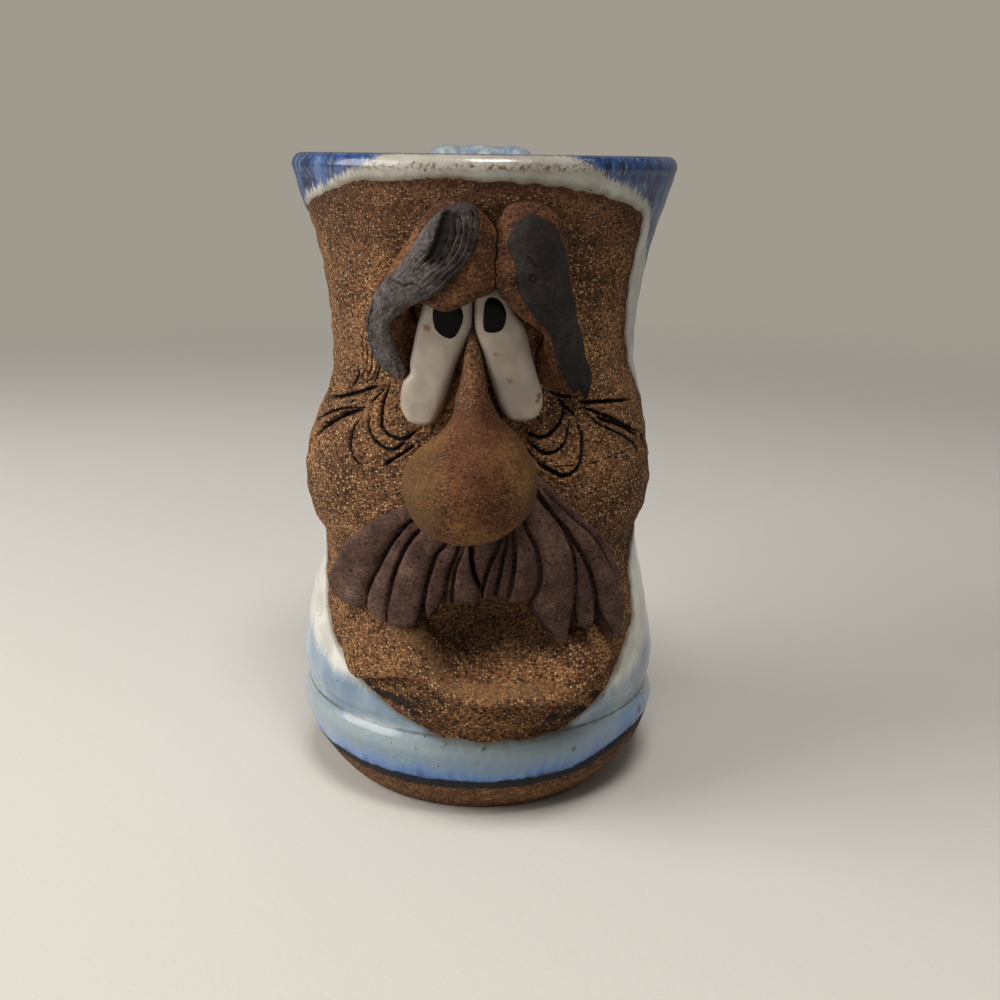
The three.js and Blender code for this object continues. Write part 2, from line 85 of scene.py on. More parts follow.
def lumps(points, size, seed=0):
    # random smooth bumps from -1 to 1, about size across
    cell = points / size
    low = np.floor(cell).astype(np.int64)
    part = cell - low
    part = part * part * (3 - 2 * part)
    total = 0
    for corner in range(8):
        bits = np.array([corner & 1, corner >> 1 & 1, corner >> 2 & 1])
        at = low + bits
        mixed = (at[:, 0] * 73856093) ^ (at[:, 1] * 19349663) ^ (at[:, 2] * 83492791) ^ (seed * 7919)
        value = (mixed % 104729) * 0.6180339887 % 1
        total = total + np.prod(np.where(bits, part, 1 - part), axis=1) * value
    return 2 * total - 1


def fingerPush(angle, z):
    # cheeks pushed out from the inside of the soft wall, and the mouth pressed in
    side = (np.abs(angle) - 68) / 55
    cheek = 0
    for out, top, crest, bottom in (thrownBody["leftCheek"], thrownBody["rightCheek"]):
        above = np.clip(1 - ((z - crest) / (top - crest)) ** 2, 0, 1) ** 1.3
        below = np.clip(1 - ((z - crest) / (crest - bottom)) ** 2, 0, 1) ** 0.8
        here = (angle < 0) == (out == thrownBody["leftCheek"][0])
        cheek = cheek + here * out * np.clip(1 - side ** 2, 0, 1) ** 2 * np.where(z > crest, above, below)
    across = (angle - 9) / 24
    over = (z - 42.5) / 9.5
    return cheek - 3.2 * np.clip(1 - across ** 2, 0, 1) * np.clip(1 - over ** 2, 0, 1)


def wallRadius(angle, z):
    return through(thrownBody["outside"], z) + fingerPush(angle, z)


def lean(up):
    # the face stands a little off the wall's middle line, more so at the top
    return 0.2 + 0.0042 * up


def onWall(across, up, lift):
    angle = (across - lean(up)) / wrapRadius
    z = panelFoot + up
    radius = wallRadius(np.degrees(angle), z) + lift
    return np.stack([radius * np.sin(angle), -radius * np.cos(angle), z], axis=-1)


def getPoints(piece):
    flat = np.empty(len(piece.data.vertices) * 3, np.float32)
    piece.data.vertices.foreach_get("co", flat)
    return flat.reshape(-1, 3).astype(float) * 1000


def setPoints(piece, points):
    piece.data.vertices.foreach_set("co", (points / 1000).astype(np.float32).ravel())
    piece.data.update()


def getNormals(piece):
    flat = np.empty(len(piece.data.vertices) * 3, np.float32)
    piece.data.vertices.foreach_get("normal", flat)
    return flat.reshape(-1, 3).astype(float)


def paint(piece, name, values):
    # a number at each point, which the piece's material reads
    layer = piece.data.attributes.new(name, "FLOAT", "POINT")
    layer.data.foreach_set("value", np.asarray(values, np.float32))


def bentSheet(name, rows, columns, place):
    # a flat sheet of clay, bent to its shape and joined where its edges meet
    bpy.ops.object.select_all(action="DESELECT")
    bpy.ops.mesh.primitive_grid_add(x_subdivisions=columns, y_subdivisions=rows, size=2)
    piece = bpy.context.object
    piece.name = piece.data.name = name
    flat = getPoints(piece) / 1000
    along = np.round((flat[:, 1] + 1) / 2 * rows) / rows
    around = np.round((flat[:, 0] + 1) / 2 * columns) / columns
    setPoints(piece, place(along, around))
    bpy.ops.object.mode_set(mode="EDIT")
    bpy.ops.mesh.select_all(action="SELECT")
    bpy.ops.mesh.remove_doubles(threshold=0.000002)
    bpy.ops.mesh.normals_make_consistent(inside=False)
    bpy.ops.object.mode_set(mode="OBJECT")
    bpy.ops.object.shade_smooth()
    return piece


def applyModifier(piece, kind, **settings):
    bpy.ops.object.select_all(action="DESELECT")
    bpy.context.view_layer.objects.active = piece
    piece.select_set(True)
    added = piece.modifiers.new(kind.title(), kind)
    for key, value in settings.items():
        setattr(added, key, value)
    bpy.ops.object.modifier_apply(modifier=added.name)


def subdivideNear(piece, near):
    # finer faces where near(points) is true
    centres = np.empty(len(piece.data.polygons) * 3, np.float32)
    piece.data.polygons.foreach_get("center", centres)
    chosen = near(centres.reshape(-1, 3).astype(float) * 1000)
    bpy.ops.object.select_all(action="DESELECT")
    bpy.context.view_layer.objects.active = piece
    piece.select_set(True)
    bpy.context.tool_settings.mesh_select_mode = (False, False, True)
    piece.data.vertices.foreach_set("select", np.zeros(len(piece.data.vertices), bool))
    piece.data.edges.foreach_set("select", np.zeros(len(piece.data.edges), bool))
    piece.data.polygons.foreach_set("select", chosen)
    bpy.ops.object.mode_set(mode="EDIT")
    bpy.ops.mesh.subdivide(number_cuts=1, quadcorner="INNERVERT")
    bpy.ops.object.mode_set(mode="OBJECT")


def smoothLine(knots, count):
    # points of a smooth line through knots
    knots = np.array(knots, float)
    steps = np.linspace(0, len(knots) - 1, count)
    return np.stack([through(list(enumerate(knots[:, n])), steps) for n in range(knots.shape[1])], axis=-1)


def nearest(points, line):
    # distance of each point to a line, and how far along the line the nearest place is
    best = np.full(len(points), 1e9)
    along = np.zeros(len(points))
    for i in range(len(line) - 1):
        start, run = line[i], line[i + 1] - line[i]
        t = np.clip(((points - start) @ run) / (run @ run), 0, 1)
        away = np.linalg.norm(points - start - t[:, None] * run, axis=1)
        closer = away < best
        best = np.where(closer, away, best)
        along = np.where(closer, (i + t) / (len(line) - 1), along)
    return best, along


def inside(points, outline):
    # true for points within a closed outline
    found = np.zeros(len(points), bool)
    for a, b in zip(outline, np.roll(outline, -1, axis=0)):
        crosses = (a[1] > points[:, 1]) != (b[1] > points[:, 1])
        rise = b[1] - a[1] if b[1] != a[1] else 1e-9
        found ^= crosses & (points[:, 0] < (b[0] - a[0]) * (points[:, 1] - a[1]) / rise + a[0])
    return found


# Bare panel of the face, its outline as angle from the front and height
panelOutline = [(-92, 108), (-90, 117), (-80, 119.4), (-69, 120.5), (-56.6, 122.2), (-46, 123.9), (-36, 125.1), (-22, 125.7), (0, 125.7),
                (13.5, 125.3), (28.3, 124.3), (36, 123.3), (43.4, 122.1), (50.2, 120.9), (57.4, 119.6), (59.5, 116.9), (60.9, 112.9),
                (62, 106), (63.5, 99.5), (66.4, 94.7), (71.4, 90), (75.5, 86), (84, 80), (92, 72), (93, 62), (86, 55),
                (72, 51.8), (65.5, 47.5), (64, 42), (61.5, 37.6), (54.6, 34.2), (49, 30.9), (44.3, 28), (39.2, 25),
                (33.7, 22.3), (28.3, 20.4), (21, 19.6), (13.5, 19.3), (4.2, 19.3), (-3.4, 19.4), (-9, 19.6), (-14.1, 20.4),
                (-17.7, 21.5), (-22.6, 23.3), (-28.6, 25.6), (-34.4, 28), (-39.8, 30.3), (-45.5, 32.6),
                (-52.5, 35), (-56.5, 37.5), (-61, 41), (-67.4, 47), (-76, 52.5), (-86, 56), (-92, 64), (-92, 80), (-89, 95)]

# Lines cut into the soft clay at the corners of the eyes and under them: angle and height,
# then the line's half width and its depth
cutLines = [
    ([(-69, 82.3), (-64.6, 82.8), (-60.3, 83.2), (-56.6, 83.8), (-52.4, 84.5), (-48, 85.3), (-43.5, 86.2), (-38.6, 87)], 0.42, 1.3),
    ([(-53.1, 82.8), (-50.9, 83.2), (-48.9, 83.6)], 0.24, 0.5),
    ([(-76, 76.2), (-71.9, 77.5), (-67.4, 78.8), (-62.9, 79.9), (-58.5, 80.9), (-54.5, 81.5), (-50.2, 82), (-46.9, 82.2), (-41.4, 82.7)], 0.3, 0.9),
    ([(-69.5, 74.2), (-65.4, 76), (-62, 77.4), (-58, 78.7), (-54.7, 79.9), (-52, 80.7), (-48.7, 81.4), (-44.2, 82.1)], 0.52, 1.4),
    ([(-69.5, 74.4), (-71.5, 72), (-73, 70), (-73.5, 67.8)], 0.3, 0.7),
    ([(-63.8, 74.6), (-62.9, 73.7), (-62.2, 72.7)], 0.22, 0.4),
    ([(-33, 88), (-34.7, 86.4), (-35.8, 84.7), (-36.1, 82.6), (-36.1, 80.9), (-35.2, 79.5), (-33.3, 78.5), (-30.8, 77.9), (-28.2, 77.6),
      (-26.3, 77.7), (-24.6, 78.4), (-22.7, 79.2), (-19.6, 80.1)], 0.4, 1.2),
    ([(-41.5, 81.6), (-41.1, 80.3), (-40.5, 79.2), (-39.2, 77.9), (-37.4, 76.8), (-35.3, 76.1), (-33.1, 75.5), (-30.7, 75.4), (-29.2, 75.7),
      (-26.9, 76.8), (-25.6, 77.5)], 0.38, 1.1),
    ([(-45.4, 80.5), (-46.2, 78.6), (-46.8, 77), (-46.8, 75.8), (-46.1, 74.5), (-44.4, 73.2), (-42.5, 72.2), (-40.5, 71.7)], 0.36, 1.0),
    ([(-33.2, 72.2), (-31.5, 72.9), (-28.8, 74.1), (-26.3, 75.1), (-24.7, 75.9), (-22.4, 76.9)], 0.36, 0.9),
    ([(-55.2, 85.2), (-53.6, 86.2), (-50.6, 87.8), (-49.1, 89.6)], 0.3, 0.6),
    ([(-42, 83.4), (-39.8, 84.6), (-38, 85.6), (-36.5, 86.7)], 0.26, 0.6),
    ([(-45.7, 87.2), (-42.2, 88.2), (-40.2, 89.8), (-39.7, 91.5), (-39.9, 94)], 0.22, 0.5),
    ([(-41, 87.8), (-38.9, 89), (-38.1, 90.5), (-38, 93)], 0.2, 0.4),
    ([(-48.7, 87.9), (-46.3, 89.5), (-45, 91.4), (-44.6, 95)], 0.22, 0.5),
    ([(-44.4, 88.6), (-42.6, 89.9), (-42.2, 91.6), (-42.3, 96)], 0.2, 0.4),
    ([(-47.4, 91), (-46.8, 94), (-46.4, 98)], 0.18, 0.3),
    ([(37, 84.9), (39.9, 84.5), (43.6, 84.3), (48.3, 84.1), (52, 83.9), (55.7, 83.7), (60, 83.4), (65, 83.2)], 0.42, 1.4),
    ([(36.5, 83.7), (39.8, 83.3), (44.3, 82.3), (47.4, 81.6), (50.4, 81), (53.5, 80.1), (57.5, 78.9), (61.9, 77.6), (66.3, 76.4)], 0.36, 1.1),
    ([(43.7, 81.7), (46.5, 80.8), (51.6, 79.8), (56.1, 78.6), (60.5, 77.3), (66.2, 75.6)], 0.4, 1.0),
    ([(38.6, 82.8), (41.1, 81.6), (44.4, 80.1), (48.3, 79), (51.9, 78), (56.5, 76.6), (61.3, 74.9), (64.4, 73), (66, 71.2)], 0.26, 0.6),
    ([(67, 76.2), (70, 75), (72.5, 73.4), (74, 71.6), (74.5, 69.6)], 0.36, 0.8),
    ([(28.1, 86.1), (30.1, 84.8), (31.8, 83.8), (33.8, 82.9), (35, 81.8)], 0.34, 0.9),
    ([(25.1, 87.4), (27.5, 86.6), (31.1, 86.1), (35, 86)], 0.3, 0.7),
    ([(30.7, 84.4), (30.1, 83.2), (29.3, 81.8), (28.5, 80.7), (26.9, 79.8), (25, 79), (22.9, 78.6), (20.4, 78.7), (18, 79.3), (15.3, 80)], 0.4, 1.2),
    ([(32.3, 81.7), (32.1, 79.9), (31.1, 78.2), (29.9, 76.8), (27.8, 75.9), (25.6, 75.4), (23.7, 75.5), (21.4, 76.1), (18.2, 77.5),
      (16, 78.6)], 0.38, 1.1),
    ([(35.5, 81), (36.6, 79.4), (37.2, 77.6), (37.1, 75.8), (36.6, 74), (35.3, 72.5), (33.3, 71.5), (31.2, 71), (29, 71), (26.5, 71.7),
      (23.5, 72.7), (21.2, 73.7), (19.3, 74.7)], 0.48, 1.4),
    ([(16, 77), (17.7, 75.8), (19.5, 74.7)], 0.24, 0.5),
    ([(37.7, 72.9), (42.4, 72.9), (46.9, 73.4), (52.3, 73.8), (60, 74)], 0.16, 0.2),
    ([(26, 72.8), (28.7, 72.9), (34.4, 72.8)], 0.16, 0.2),
    ([(20.1, 82.9), (21, 82), (22, 81)], 0.18, 0.3),
]

# Where the cobalt starts under the rim and where it ends over the foot, by angle
rimBlue = [(-180, 113), (-150, 118), (-120, 111), (-95, 115), (-80, 118.6), (-71, 121.3), (-57, 123.4), (-49, 124.5), (-42, 126.2),
           (-37, 127.1), (-30, 128.9), (-22, 131), (0, 132), (20, 130.8), (26, 129), (31, 127.6), (36, 125.9), (44, 124.6),
           (52, 122.6), (60, 120), (68, 114), (78, 109), (95, 111), (120, 117), (150, 112), (180, 113)]
footBlue = [(-180, 33), (-140, 37), (-110, 34.5), (-80, 34), (-62, 31.5), (-50, 29.4), (-30, 28), (0, 28), (45, 27), (60, 29), (75, 33),
            (100, 36), (140, 32), (180, 33)]


# Lower end of the glaze over the foot, by angle, and iron smudges on the panel: across, up, size
footBlack = [(-180, 8.5), (-90, 8.5), (-70, 8.2), (-58, 7.7), (-49, 8.2), (-38, 7.6), (-12, 7.6), (7, 7.7), (14, 7.9), (22, 8.1), (30, 8.5),
             (38, 9.6), (46, 11.1), (54, 12.2), (66, 12.6), (90, 11.5), (140, 9), (180, 8.5)]
smudges = [(-18.6, 4.4, 1.3), (-16.4, 4.0, 1.5), (-14.1, 3.6, 1.6), (-12.2, 3.0, 1.5), (-11.0, 4.6, 1.1), (-11.1, 1.2, 1.3), (-20.6, 5.4, 0.9),
           (-12.6, -0.6, 1.0), (-6, 5.9, 0.6), (13.9, 0.1, 1.3), (17.8, -0.3, 1.6), (20.1, 0.9, 1.3), (23, 3.2, 1.2), (-3.5, 4.2, 0.6)]
# painted shade in the mouth: middle across and up, half width and half height
mouthShadeSpread = (2.2, 18.8, 13.0, 6.2)
# Iron spots in the glaze: across, up, size
ironSpots = [(38, -6, 1.0), (18.1, -7.1, 0.5), (1.5, -4.9, 0.4), (-6, -5.2, 0.25), (24.9, 2.4, 0.5), (29.2, 6.4, 0.35), (0, -8.2, 0.25),
             (-13.8, -10.8, 0.25), (-5.4, -4.6, 0.2), (36, 12, 0.3), (33.6, 78, 0.3), (-38, 14, 0.25)]


def mouthShade(flat):
    # painted shade in the hollow of the mouth, by places across and up
    across, up, halfAcross, halfUp = mouthShadeSpread
    return np.exp(-((flat[:, 0] - across) / halfAcross) ** 4 - ((flat[:, 1] - up) / halfUp) ** 4)


def bodyProfile():
    # radius, height and kind of each ring from the middle of the base round to the middle of the floor
    shape = thrownBody
    rings = [(r, 0, 0) for r in (0, 8, 16, 22, 26.4, shape["outside"][0][1])]
    heights = np.concatenate([np.arange(0.4, 8, 0.85), np.arange(8, 27, 0.5), np.arange(27, 67, 0.68),
                              np.arange(67, 90, 0.5), np.arange(90, 118, 0.72), np.arange(118, 127.3, 0.5)])
    rings += [(r, z, 1) for z, r in zip(heights, through(shape["outside"], heights))]
    middleHeight, middleRadius = shape["rimMiddle"]
    for angle in np.linspace(-0.28, math.pi, 15):
        rings.append((middleRadius + shape["rimRound"] * math.cos(angle),
                      middleHeight + shape["rimRound"] * math.sin(angle), 3))
    for z in np.linspace(126, 17, 44):
        rings.append((float(through(shape["inside"], np.array([z]))[0]), z, 2))
    corner = shape["inside"][0][1] - shape["floorRound"]
    for angle in np.radians(np.linspace(12, 90, 8)):
        rings.append((corner + shape["floorRound"] * math.cos(angle), 17 - shape["floorRound"] * math.sin(angle), 0))
    rings += [(r, shape["floor"], 0) for r in (17, 9, 0)]
    return np.array(rings, float)


def turnToSheet(around):
    # angle of a column: close together over the face, wider apart behind
    shape = thrownBody
    front, back = shape["frontColumns"], shape["backColumns"]
    column = around * (front + back)
    half = back / 2
    behind = (180 - shape["frontAngle"]) / half
    return np.where(column < half, -180 + column * behind,
                    np.where(column < half + front, -shape["frontAngle"] + (column - half) * 2 * shape["frontAngle"] / front,
                             shape["frontAngle"] + (column - half - front) * behind))


def throwBody():
    shape = thrownBody
    rings = bodyProfile()
    rows = len(rings) - 1

    def place(along, around):
        row = np.round(along * rows).astype(int)
        angle = turnToSheet(around)
        radius, z, kind = rings[row].T
        moved = np.where((kind == 1) | (kind == 2), fingerPush(angle, z), 0)
        radius = radius + moved
        turn = np.radians(angle)
        return np.stack([radius * np.sin(turn), -radius * np.cos(turn), z], axis=-1)

    piece = bentSheet("mugBody", rows, shape["frontColumns"] + shape["backColumns"], place)

    lines = [(smoothLine(line, 4 * len(line)) * (math.pi / 180 * wrapRadius, 1), width, depth)
             for line, width, depth in cutLines]
    outline = smoothLine(panelOutline + panelOutline[:1], 4 * len(panelOutline)) * (math.pi / 180 * wrapRadius, 1)

    def flatPlaces(points):
        angle = np.arctan2(points[:, 0], -points[:, 1])
        return np.stack([angle * wrapRadius + lean(points[:, 2] - panelFoot), points[:, 2]], axis=-1)

    def isOutside(points):
        radius = np.hypot(points[:, 0], points[:, 1])
        angle = np.degrees(np.arctan2(points[:, 0], -points[:, 1]))
        return (radius > wallRadius(angle, points[:, 2]) - 1.2) & (points[:, 2] > 0.2)

    def nearCut(reach):
        def near(points):
            places = flatPlaces(points)
            found = np.zeros(len(points), bool)
            for line, width, depth in lines:
                box = np.all((places > line.min(0) - reach) & (places < line.max(0) + reach), axis=1)
                found[box] |= nearest(places[box], line)[0] < reach
            return found & isOutside(points)
        return near

    subdivideNear(piece, nearCut(1.7))
    subdivideNear(piece, nearCut(1.05))

    points = getPoints(piece)
    places = flatPlaces(points)
    outer = isOutside(points)
    angle = np.degrees(np.arctan2(points[:, 0], -points[:, 1]))
    z = points[:, 2]

    edge = np.full(len(points), -20.0)
    front = outer & (np.abs(angle) < 120)
    away = nearest(places[front], outline[::2])[0]
    edge[front] = np.clip(np.where(inside(places[front], outline), away, -away), -20, 20)
    wander = lumps(points, 2.2, 4) * 0.35 + lumps(points, 0.9, 5) * 0.18
    edge = edge + wander

    cut = np.zeros(len(points))
    push = np.zeros(len(points))
    jitter = lumps(points, 1.3, 1)
    torn = lumps(points, 0.5, 9)
    for number, (line, width, depth) in enumerate(lines):
        reach = 3 * width + 1
        box = front & np.all((places > line.min(0) - reach) & (places < line.max(0) + reach), axis=1)
        distance, along = nearest(places[box], line)
        distance = np.abs(distance + torn[box] * 0.16)
        taper = np.minimum(1, 5 * np.minimum(along + 0.04, 1.04 - along))
        wide = width * (0.55 + 0.45 * taper) * (1 + 0.25 * jitter[box])
        trough = np.exp(-(distance / wide) ** 2 * 1.2) * taper
        burr = np.exp(-((distance - 1.9 * wide) / (0.7 * wide)) ** 2) * taper * (0.5 + 0.5 * jitter[box])
        burr = burr * (1 + 0.8 * torn[box])
        push[box] = np.minimum(push[box], -depth * trough) + 0.42 * depth * np.clip(burr, 0, 1) * (push[box] > -0.3)
        cut[box] = np.maximum(cut[box], trough)

    coat = shape["glazeCoat"] * ease(0.35, -0.5, edge) * ease(8.2, 9.6, z)
    ringing = shape["throwingRing"] * np.sin(z * 1.15 + np.radians(angle)) * (z > 24) * (z < 126)
    grit = lumps(points, 1.1, 2) * 0.09 + lumps(points, 0.62, 3) * 0.07 + lumps(points, 6, 6) * 0.16
    bare = ease(-0.3, 0.4, edge)
    glazeWave = lumps(points, 7, 7) * 0.12
    # the turned foot is bare and torn along its lower edge
    foot = ease(9, 7.5, z) * (lumps(points, 1.4, 8) * 0.12 - 0.05)
    offset = np.where(outer, push + coat + ringing * (0.4 + 0.6 * bare) + grit * bare + glazeWave * (1 - bare) * ease(8, 10, z) + foot - 0.2, 0)
    middle, spread, high, halfHigh, deep = shape["hollow"]
    pressed = np.clip(1 - ((angle - middle) / spread) ** 2, 0, 1) * np.clip(1 - ((z - high) / halfHigh) ** 2, 0, 1)
    offset = offset - deep * outer * pressed ** 0.8
    offset *= ease(0.1, 1.5, z) * ease(129.2, 127.5, z)
    radius = np.hypot(points[:, 0], points[:, 1])
    scale = (radius + offset) / np.maximum(radius, 1e-6)
    points[:, 0] *= scale
    points[:, 1] *= scale
    setPoints(piece, points)

    rim = through(rimBlue, angle)
    footLine = through(footBlue, angle)
    smudge = np.zeros(len(points))
    for across, up, size in smudges:
        away = np.linalg.norm((places[front] - (across, up + panelFoot)) / (size, 0.6 * size), axis=1)
        smudge[front] = np.maximum(smudge[front], np.exp(-away ** 2))
    paint(piece, "bareEdge", np.where(outer, edge, -20))
    # the cuts' mask, darkened in the material as painted shade
    paint(piece, "cut", cut)
    paint(piece, "rimCobalt", np.where(outer | (z > 127.5), z - rim, -6 + (z - 122)))
    paint(piece, "footCobalt", np.where(outer, footLine - z, -12))
    paint(piece, "footEdge", np.where(outer | (z < 1), z - through(footBlack, angle), 12))
    paint(piece, "smudge", smudge)
    spot = np.zeros(len(points))
    for across, up, size in ironSpots:
        spot[front] = np.maximum(spot[front], np.exp(-(np.linalg.norm(places[front] - (across, up + panelFoot), axis=1) / size) ** 4))
    paint(piece, "spot", spot)
    # painted shade over the mouth's hollow
    shade = np.zeros(len(points))
    shade[front] = mouthShade(places[front] - (0, panelFoot))
    paint(piece, "mouth", shade)
    paint(piece, "inner", (~outer & (z < 129.5) & (z > 5)).astype(float))
    return piece


mugBody = throwBody()
print("body thrown:", len(mugBody.data.polygons), "faces")


def rolledClay(name, rows, columns, stations, section, ends=(0, 0), sculpt=None, fall=0, over=None):
    # A roll of clay laid on the wall. Each station has the place of its left and right edge
    # and its height; section(w) gives side from -1 to 1 and height from 0 to 1 round the roll;
    # ends are the lengths over which its two ends round off, and over gives the height of
    # a piece that it lies on.
    stations = np.array(stations, float)
    count = len(stations) - 1
    grid = np.linspace(0, count, 401)
    track = [through(list(enumerate(stations[:, n])), grid) for n in range(stations.shape[1])]
    middle = np.stack([(track[0] + track[2]) / 2, (track[1] + track[3]) / 2], axis=-1)
    walked = np.concatenate([[0], np.cumsum(np.linalg.norm(np.diff(middle, axis=0), axis=1))])

    def place(along, around):
        t = along - np.sin(2 * math.pi * along) / (2 * math.pi) * 0.85
        distance = t * walked[-1]
        at = np.interp(distance, walked, grid)
        leftX, leftY, rightX, rightY, high = [np.interp(at, grid, line) for line in track[:5]]
        blend = [np.interp(at, grid, line) for line in track[5:]]
        cap = np.ones_like(t)
        for gap, length in ((distance, ends[0]), (walked[-1] - distance, ends[1])):
            if length:
                short = np.clip(1 - gap / length, 0, 1)
                cap = np.minimum(cap, np.sqrt(1 - short ** 2))
        side, rise = section(around, *blend) if blend else section(around)
        share = (1 + side * cap) / 2
        across = leftX + (rightX - leftX) * share
        up = leftY + (rightY - leftY) * share
        lift = np.where(rise > 0, high * rise * (fall + (1 - fall) * cap), rise * cap)
        if sculpt:
            across, up, lift = sculpt(across, up, lift, t, side, rise, distance)
        closed = cap < 1e-6
        across = np.where(closed, (leftX + rightX) / 2, across)
        up = np.where(closed, (leftY + rightY) / 2, up)
        lift = np.where(closed, fall * high * 0.5, lift)
        return onWall(across, up, lift + over(across, up) if over else lift)

    return bentSheet(name, rows, columns, place)


def roundedSection(power=2.3, sink=1.0, topShare=0.78):
    # closed section: a rounded top over a shallow underside sunk in the wall
    def section(around):
        turn = np.where(around < topShare, around / topShare * math.pi,
                        math.pi + (around - topShare) / (1 - topShare) * math.pi)
        c, s = np.cos(turn), np.sin(turn)
        side = -np.sign(c) * np.abs(c) ** (2 / power)
        rise = np.where(s > 0, np.abs(s) ** (2 / power), -sink * np.abs(s) ** (2 / power))
        return side, rise
    return section


def loopThrough(controls):
    # closed smooth section through control points (side, rise), or a blend of two such sections
    controls = [np.array(list(c) + [c[0]], float) for c in controls]

    def section(around, blend=None):
        steps = around * (len(controls[0]) - 1)
        found = []
        for control in controls:
            found.append([through(list(enumerate(control[:, n])), steps) for n in (0, 1)])
        if len(found) == 1 or blend is None:
            return found[0]
        return [a * (1 - blend) + b * blend for a, b in zip(*found)]
    return section


# Eyes: tongues of white clay pressed on the wall before the lids
leftEyeShape = {
    "stations": [(-9.6, 85, -1.2, 85, 3.8), (-10.5, 80.4, -1.2, 80.6, 4.2), (-11.6, 77, -1.5, 76.9, 4.3), (-12.5, 73.4, -2.8, 73.4, 4.3),
                 (-13.3, 70, -4.2, 70, 4.2), (-13.3, 68, -4.9, 67.8, 4.2), (-14.8, 66, -5.6, 65.7, 4.15), (-15.3, 63.4, -6.4, 63.2, 4.1),
                 (-15.0, 61, -7.2, 60.9, 4.05), (-13.6, 59.1, -8.1, 59.1, 4.0), (-12.3, 58.1, -9.4, 58, 3.9)],
    "pupil": [(-8.15, 79.7), (-8.2, 78.2), (-7.9, 76.6), (-7.1, 75.6), (-6.1, 74.9), (-4.9, 74.7), (-3.9, 75.5), (-3.1, 77.2),
              (-2.7, 78.9), (-2.9, 80.1), (-3.6, 81.8), (-5.6, 82.4), (-7.5, 81.6)],
}
rightEyeShape = {
    "stations": [(-0.9, 85, 4.6, 84.4, 3.8), (-1.05, 80.8, 6.1, 80.2, 4.2), (-0.9, 76.6, 8.3, 77, 4.3), (0.5, 72.2, 9.9, 71.8, 4.2),
                 (1.6, 68.4, 11, 68, 4.2), (2.6, 65.2, 12.0, 65, 4.1), (3.6, 62.4, 12.1, 62.4, 4.05), (4.9, 60.3, 11.0, 60.4, 4.0),
                 (6.4, 59.3, 9.0, 59.2, 3.9)],
    "pupil": [(0.6, 79.8), (0.55, 77.6), (0.85, 76.4), (1.9, 75.95), (3.2, 76.1), (4.2, 76.9), (4.65, 79), (4.3, 80.6), (3.5, 81.9),
              (2.5, 82.5), (1.6, 82.5), (0.9, 81.7)],
}


def pressEye(name, shape):
    return rolledClay(name, 90, 64, shape["stations"], roundedSection(4.6, 1.0), ends=(2.5, 1.3), fall=0.5)


def pressPupil(name, shape, top):
    # a flat button of glaze: rings inside its outline, domed a little
    outline = smoothLine(shape["pupil"] + shape["pupil"][:1], 49)[:-1]
    centre = outline.mean(0)

    def place(along, around):
        spot = np.round(around * 48).astype(int) % 48
        turn = along * math.pi
        size = np.abs(np.sin(turn)) ** 0.6
        across = centre[0] + (outline[spot, 0] - centre[0]) * size
        up = centre[1] + (outline[spot, 1] - centre[1]) * size
        lift = np.where(along < 0.5, top - 0.9, top - 0.9 + 1.1 * np.abs(np.cos(turn)) ** 0.5)
        return onWall(across, up, lift)

    return bentSheet(name, 28, 48, place)


leftEye = pressEye("leftEye", leftEyeShape)
rightEye = pressEye("rightEye", rightEyeShape)
leftPupil = pressPupil("leftPupil", leftEyeShape, 4.45)
rightPupil = pressPupil("rightPupil", rightEyeShape, 4.45)
print("eyes pressed on")

# Lids: shells of iron clay that stand off the wall. From the outer edge over the top to the
# inner edge that hangs over the eye, and back underneath; down the side of the face the shell
# closes onto the wall with a sloping inner face. Stations: left edge, right edge, height and
# the share of the closed form.
hoodSection = [(-1.0, -0.4), (-0.96, 0.12), (-0.82, 0.36), (-0.5, 0.66), (-0.1, 0.87), (0.4, 0.99), (0.8, 1.0),
               (0.95, 0.95), (1.0, 0.86), (0.97, 0.77), (0.86, 0.7), (0.5, 0.6), (0.1, 0.4), (-0.3, 0.1), (-0.6, -0.3)]
closedSection = [(-1.0, -0.4), (-0.96, 0.12), (-0.86, 0.42), (-0.62, 0.72), (-0.3, 0.9), (0.12, 1.0), (0.42, 1.0),
                 (0.58, 0.95), (0.66, 0.82), (0.74, 0.6), (0.84, 0.3), (1.0, -0.05), (0.6, -0.4), (0.0, -0.45), (-0.6, -0.42)]
hoodCrown = 0.5  # share of the way round the section where its upper face ends
leftHood = [(2.73, 94.6, 2.73, 84.6, 5.9, 0), (-0.5, 98.3, 0.5, 82.7, 7.0, 0), (-4.3, 99.9, -2.4, 81.1, 7.5, 0),
            (-8.5, 97.8, -5.3, 80.3, 7.6, 0), (-12.3, 93.0, -8.3, 81.3, 7.6, 0), (-16.4, 88.0, -11.0, 80.9, 7.4, 0.15),
            (-20.0, 83.4, -12.4, 79.0, 7.0, 0.6), (-22.6, 78.2, -12.6, 75.9, 6.4, 1), (-23.0, 73.4, -12.7, 72.6, 5.4, 1),
            (-21.4, 69.2, -13.0, 69.3, 4.0, 1), (-17.4, 66.2, -14.6, 66.1, 2.0, 1)]
rightHood = [(2.43, 84.3, 2.43, 94.8, 5.9, 0), (3.6, 82.4, 5.2, 99.0, 7.0, 0), (5.6, 80.0, 10.6, 99.0, 7.5, 0),
             (7.7, 78.1, 14.6, 95.2, 7.5, 0), (9.6, 77.1, 16.2, 89.6, 7.2, 0), (10.9, 75.6, 17.6, 84.3, 6.8, 0.1),
             (11.2, 73.4, 18.8, 79.8, 6.2, 0.5), (11.4, 71.0, 20.8, 75.4, 5.6, 1), (11.8, 68.4, 22.3, 71.2, 4.8, 1),
             (12.8, 66.0, 24.6, 67.0, 3.6, 1), (16.6, 64.0, 23.6, 63.0, 1.8, 1)]


def mirrored(section):
    def turned(around, *blend):
        side, rise = section(around, *blend)
        return -side, rise
    return turned


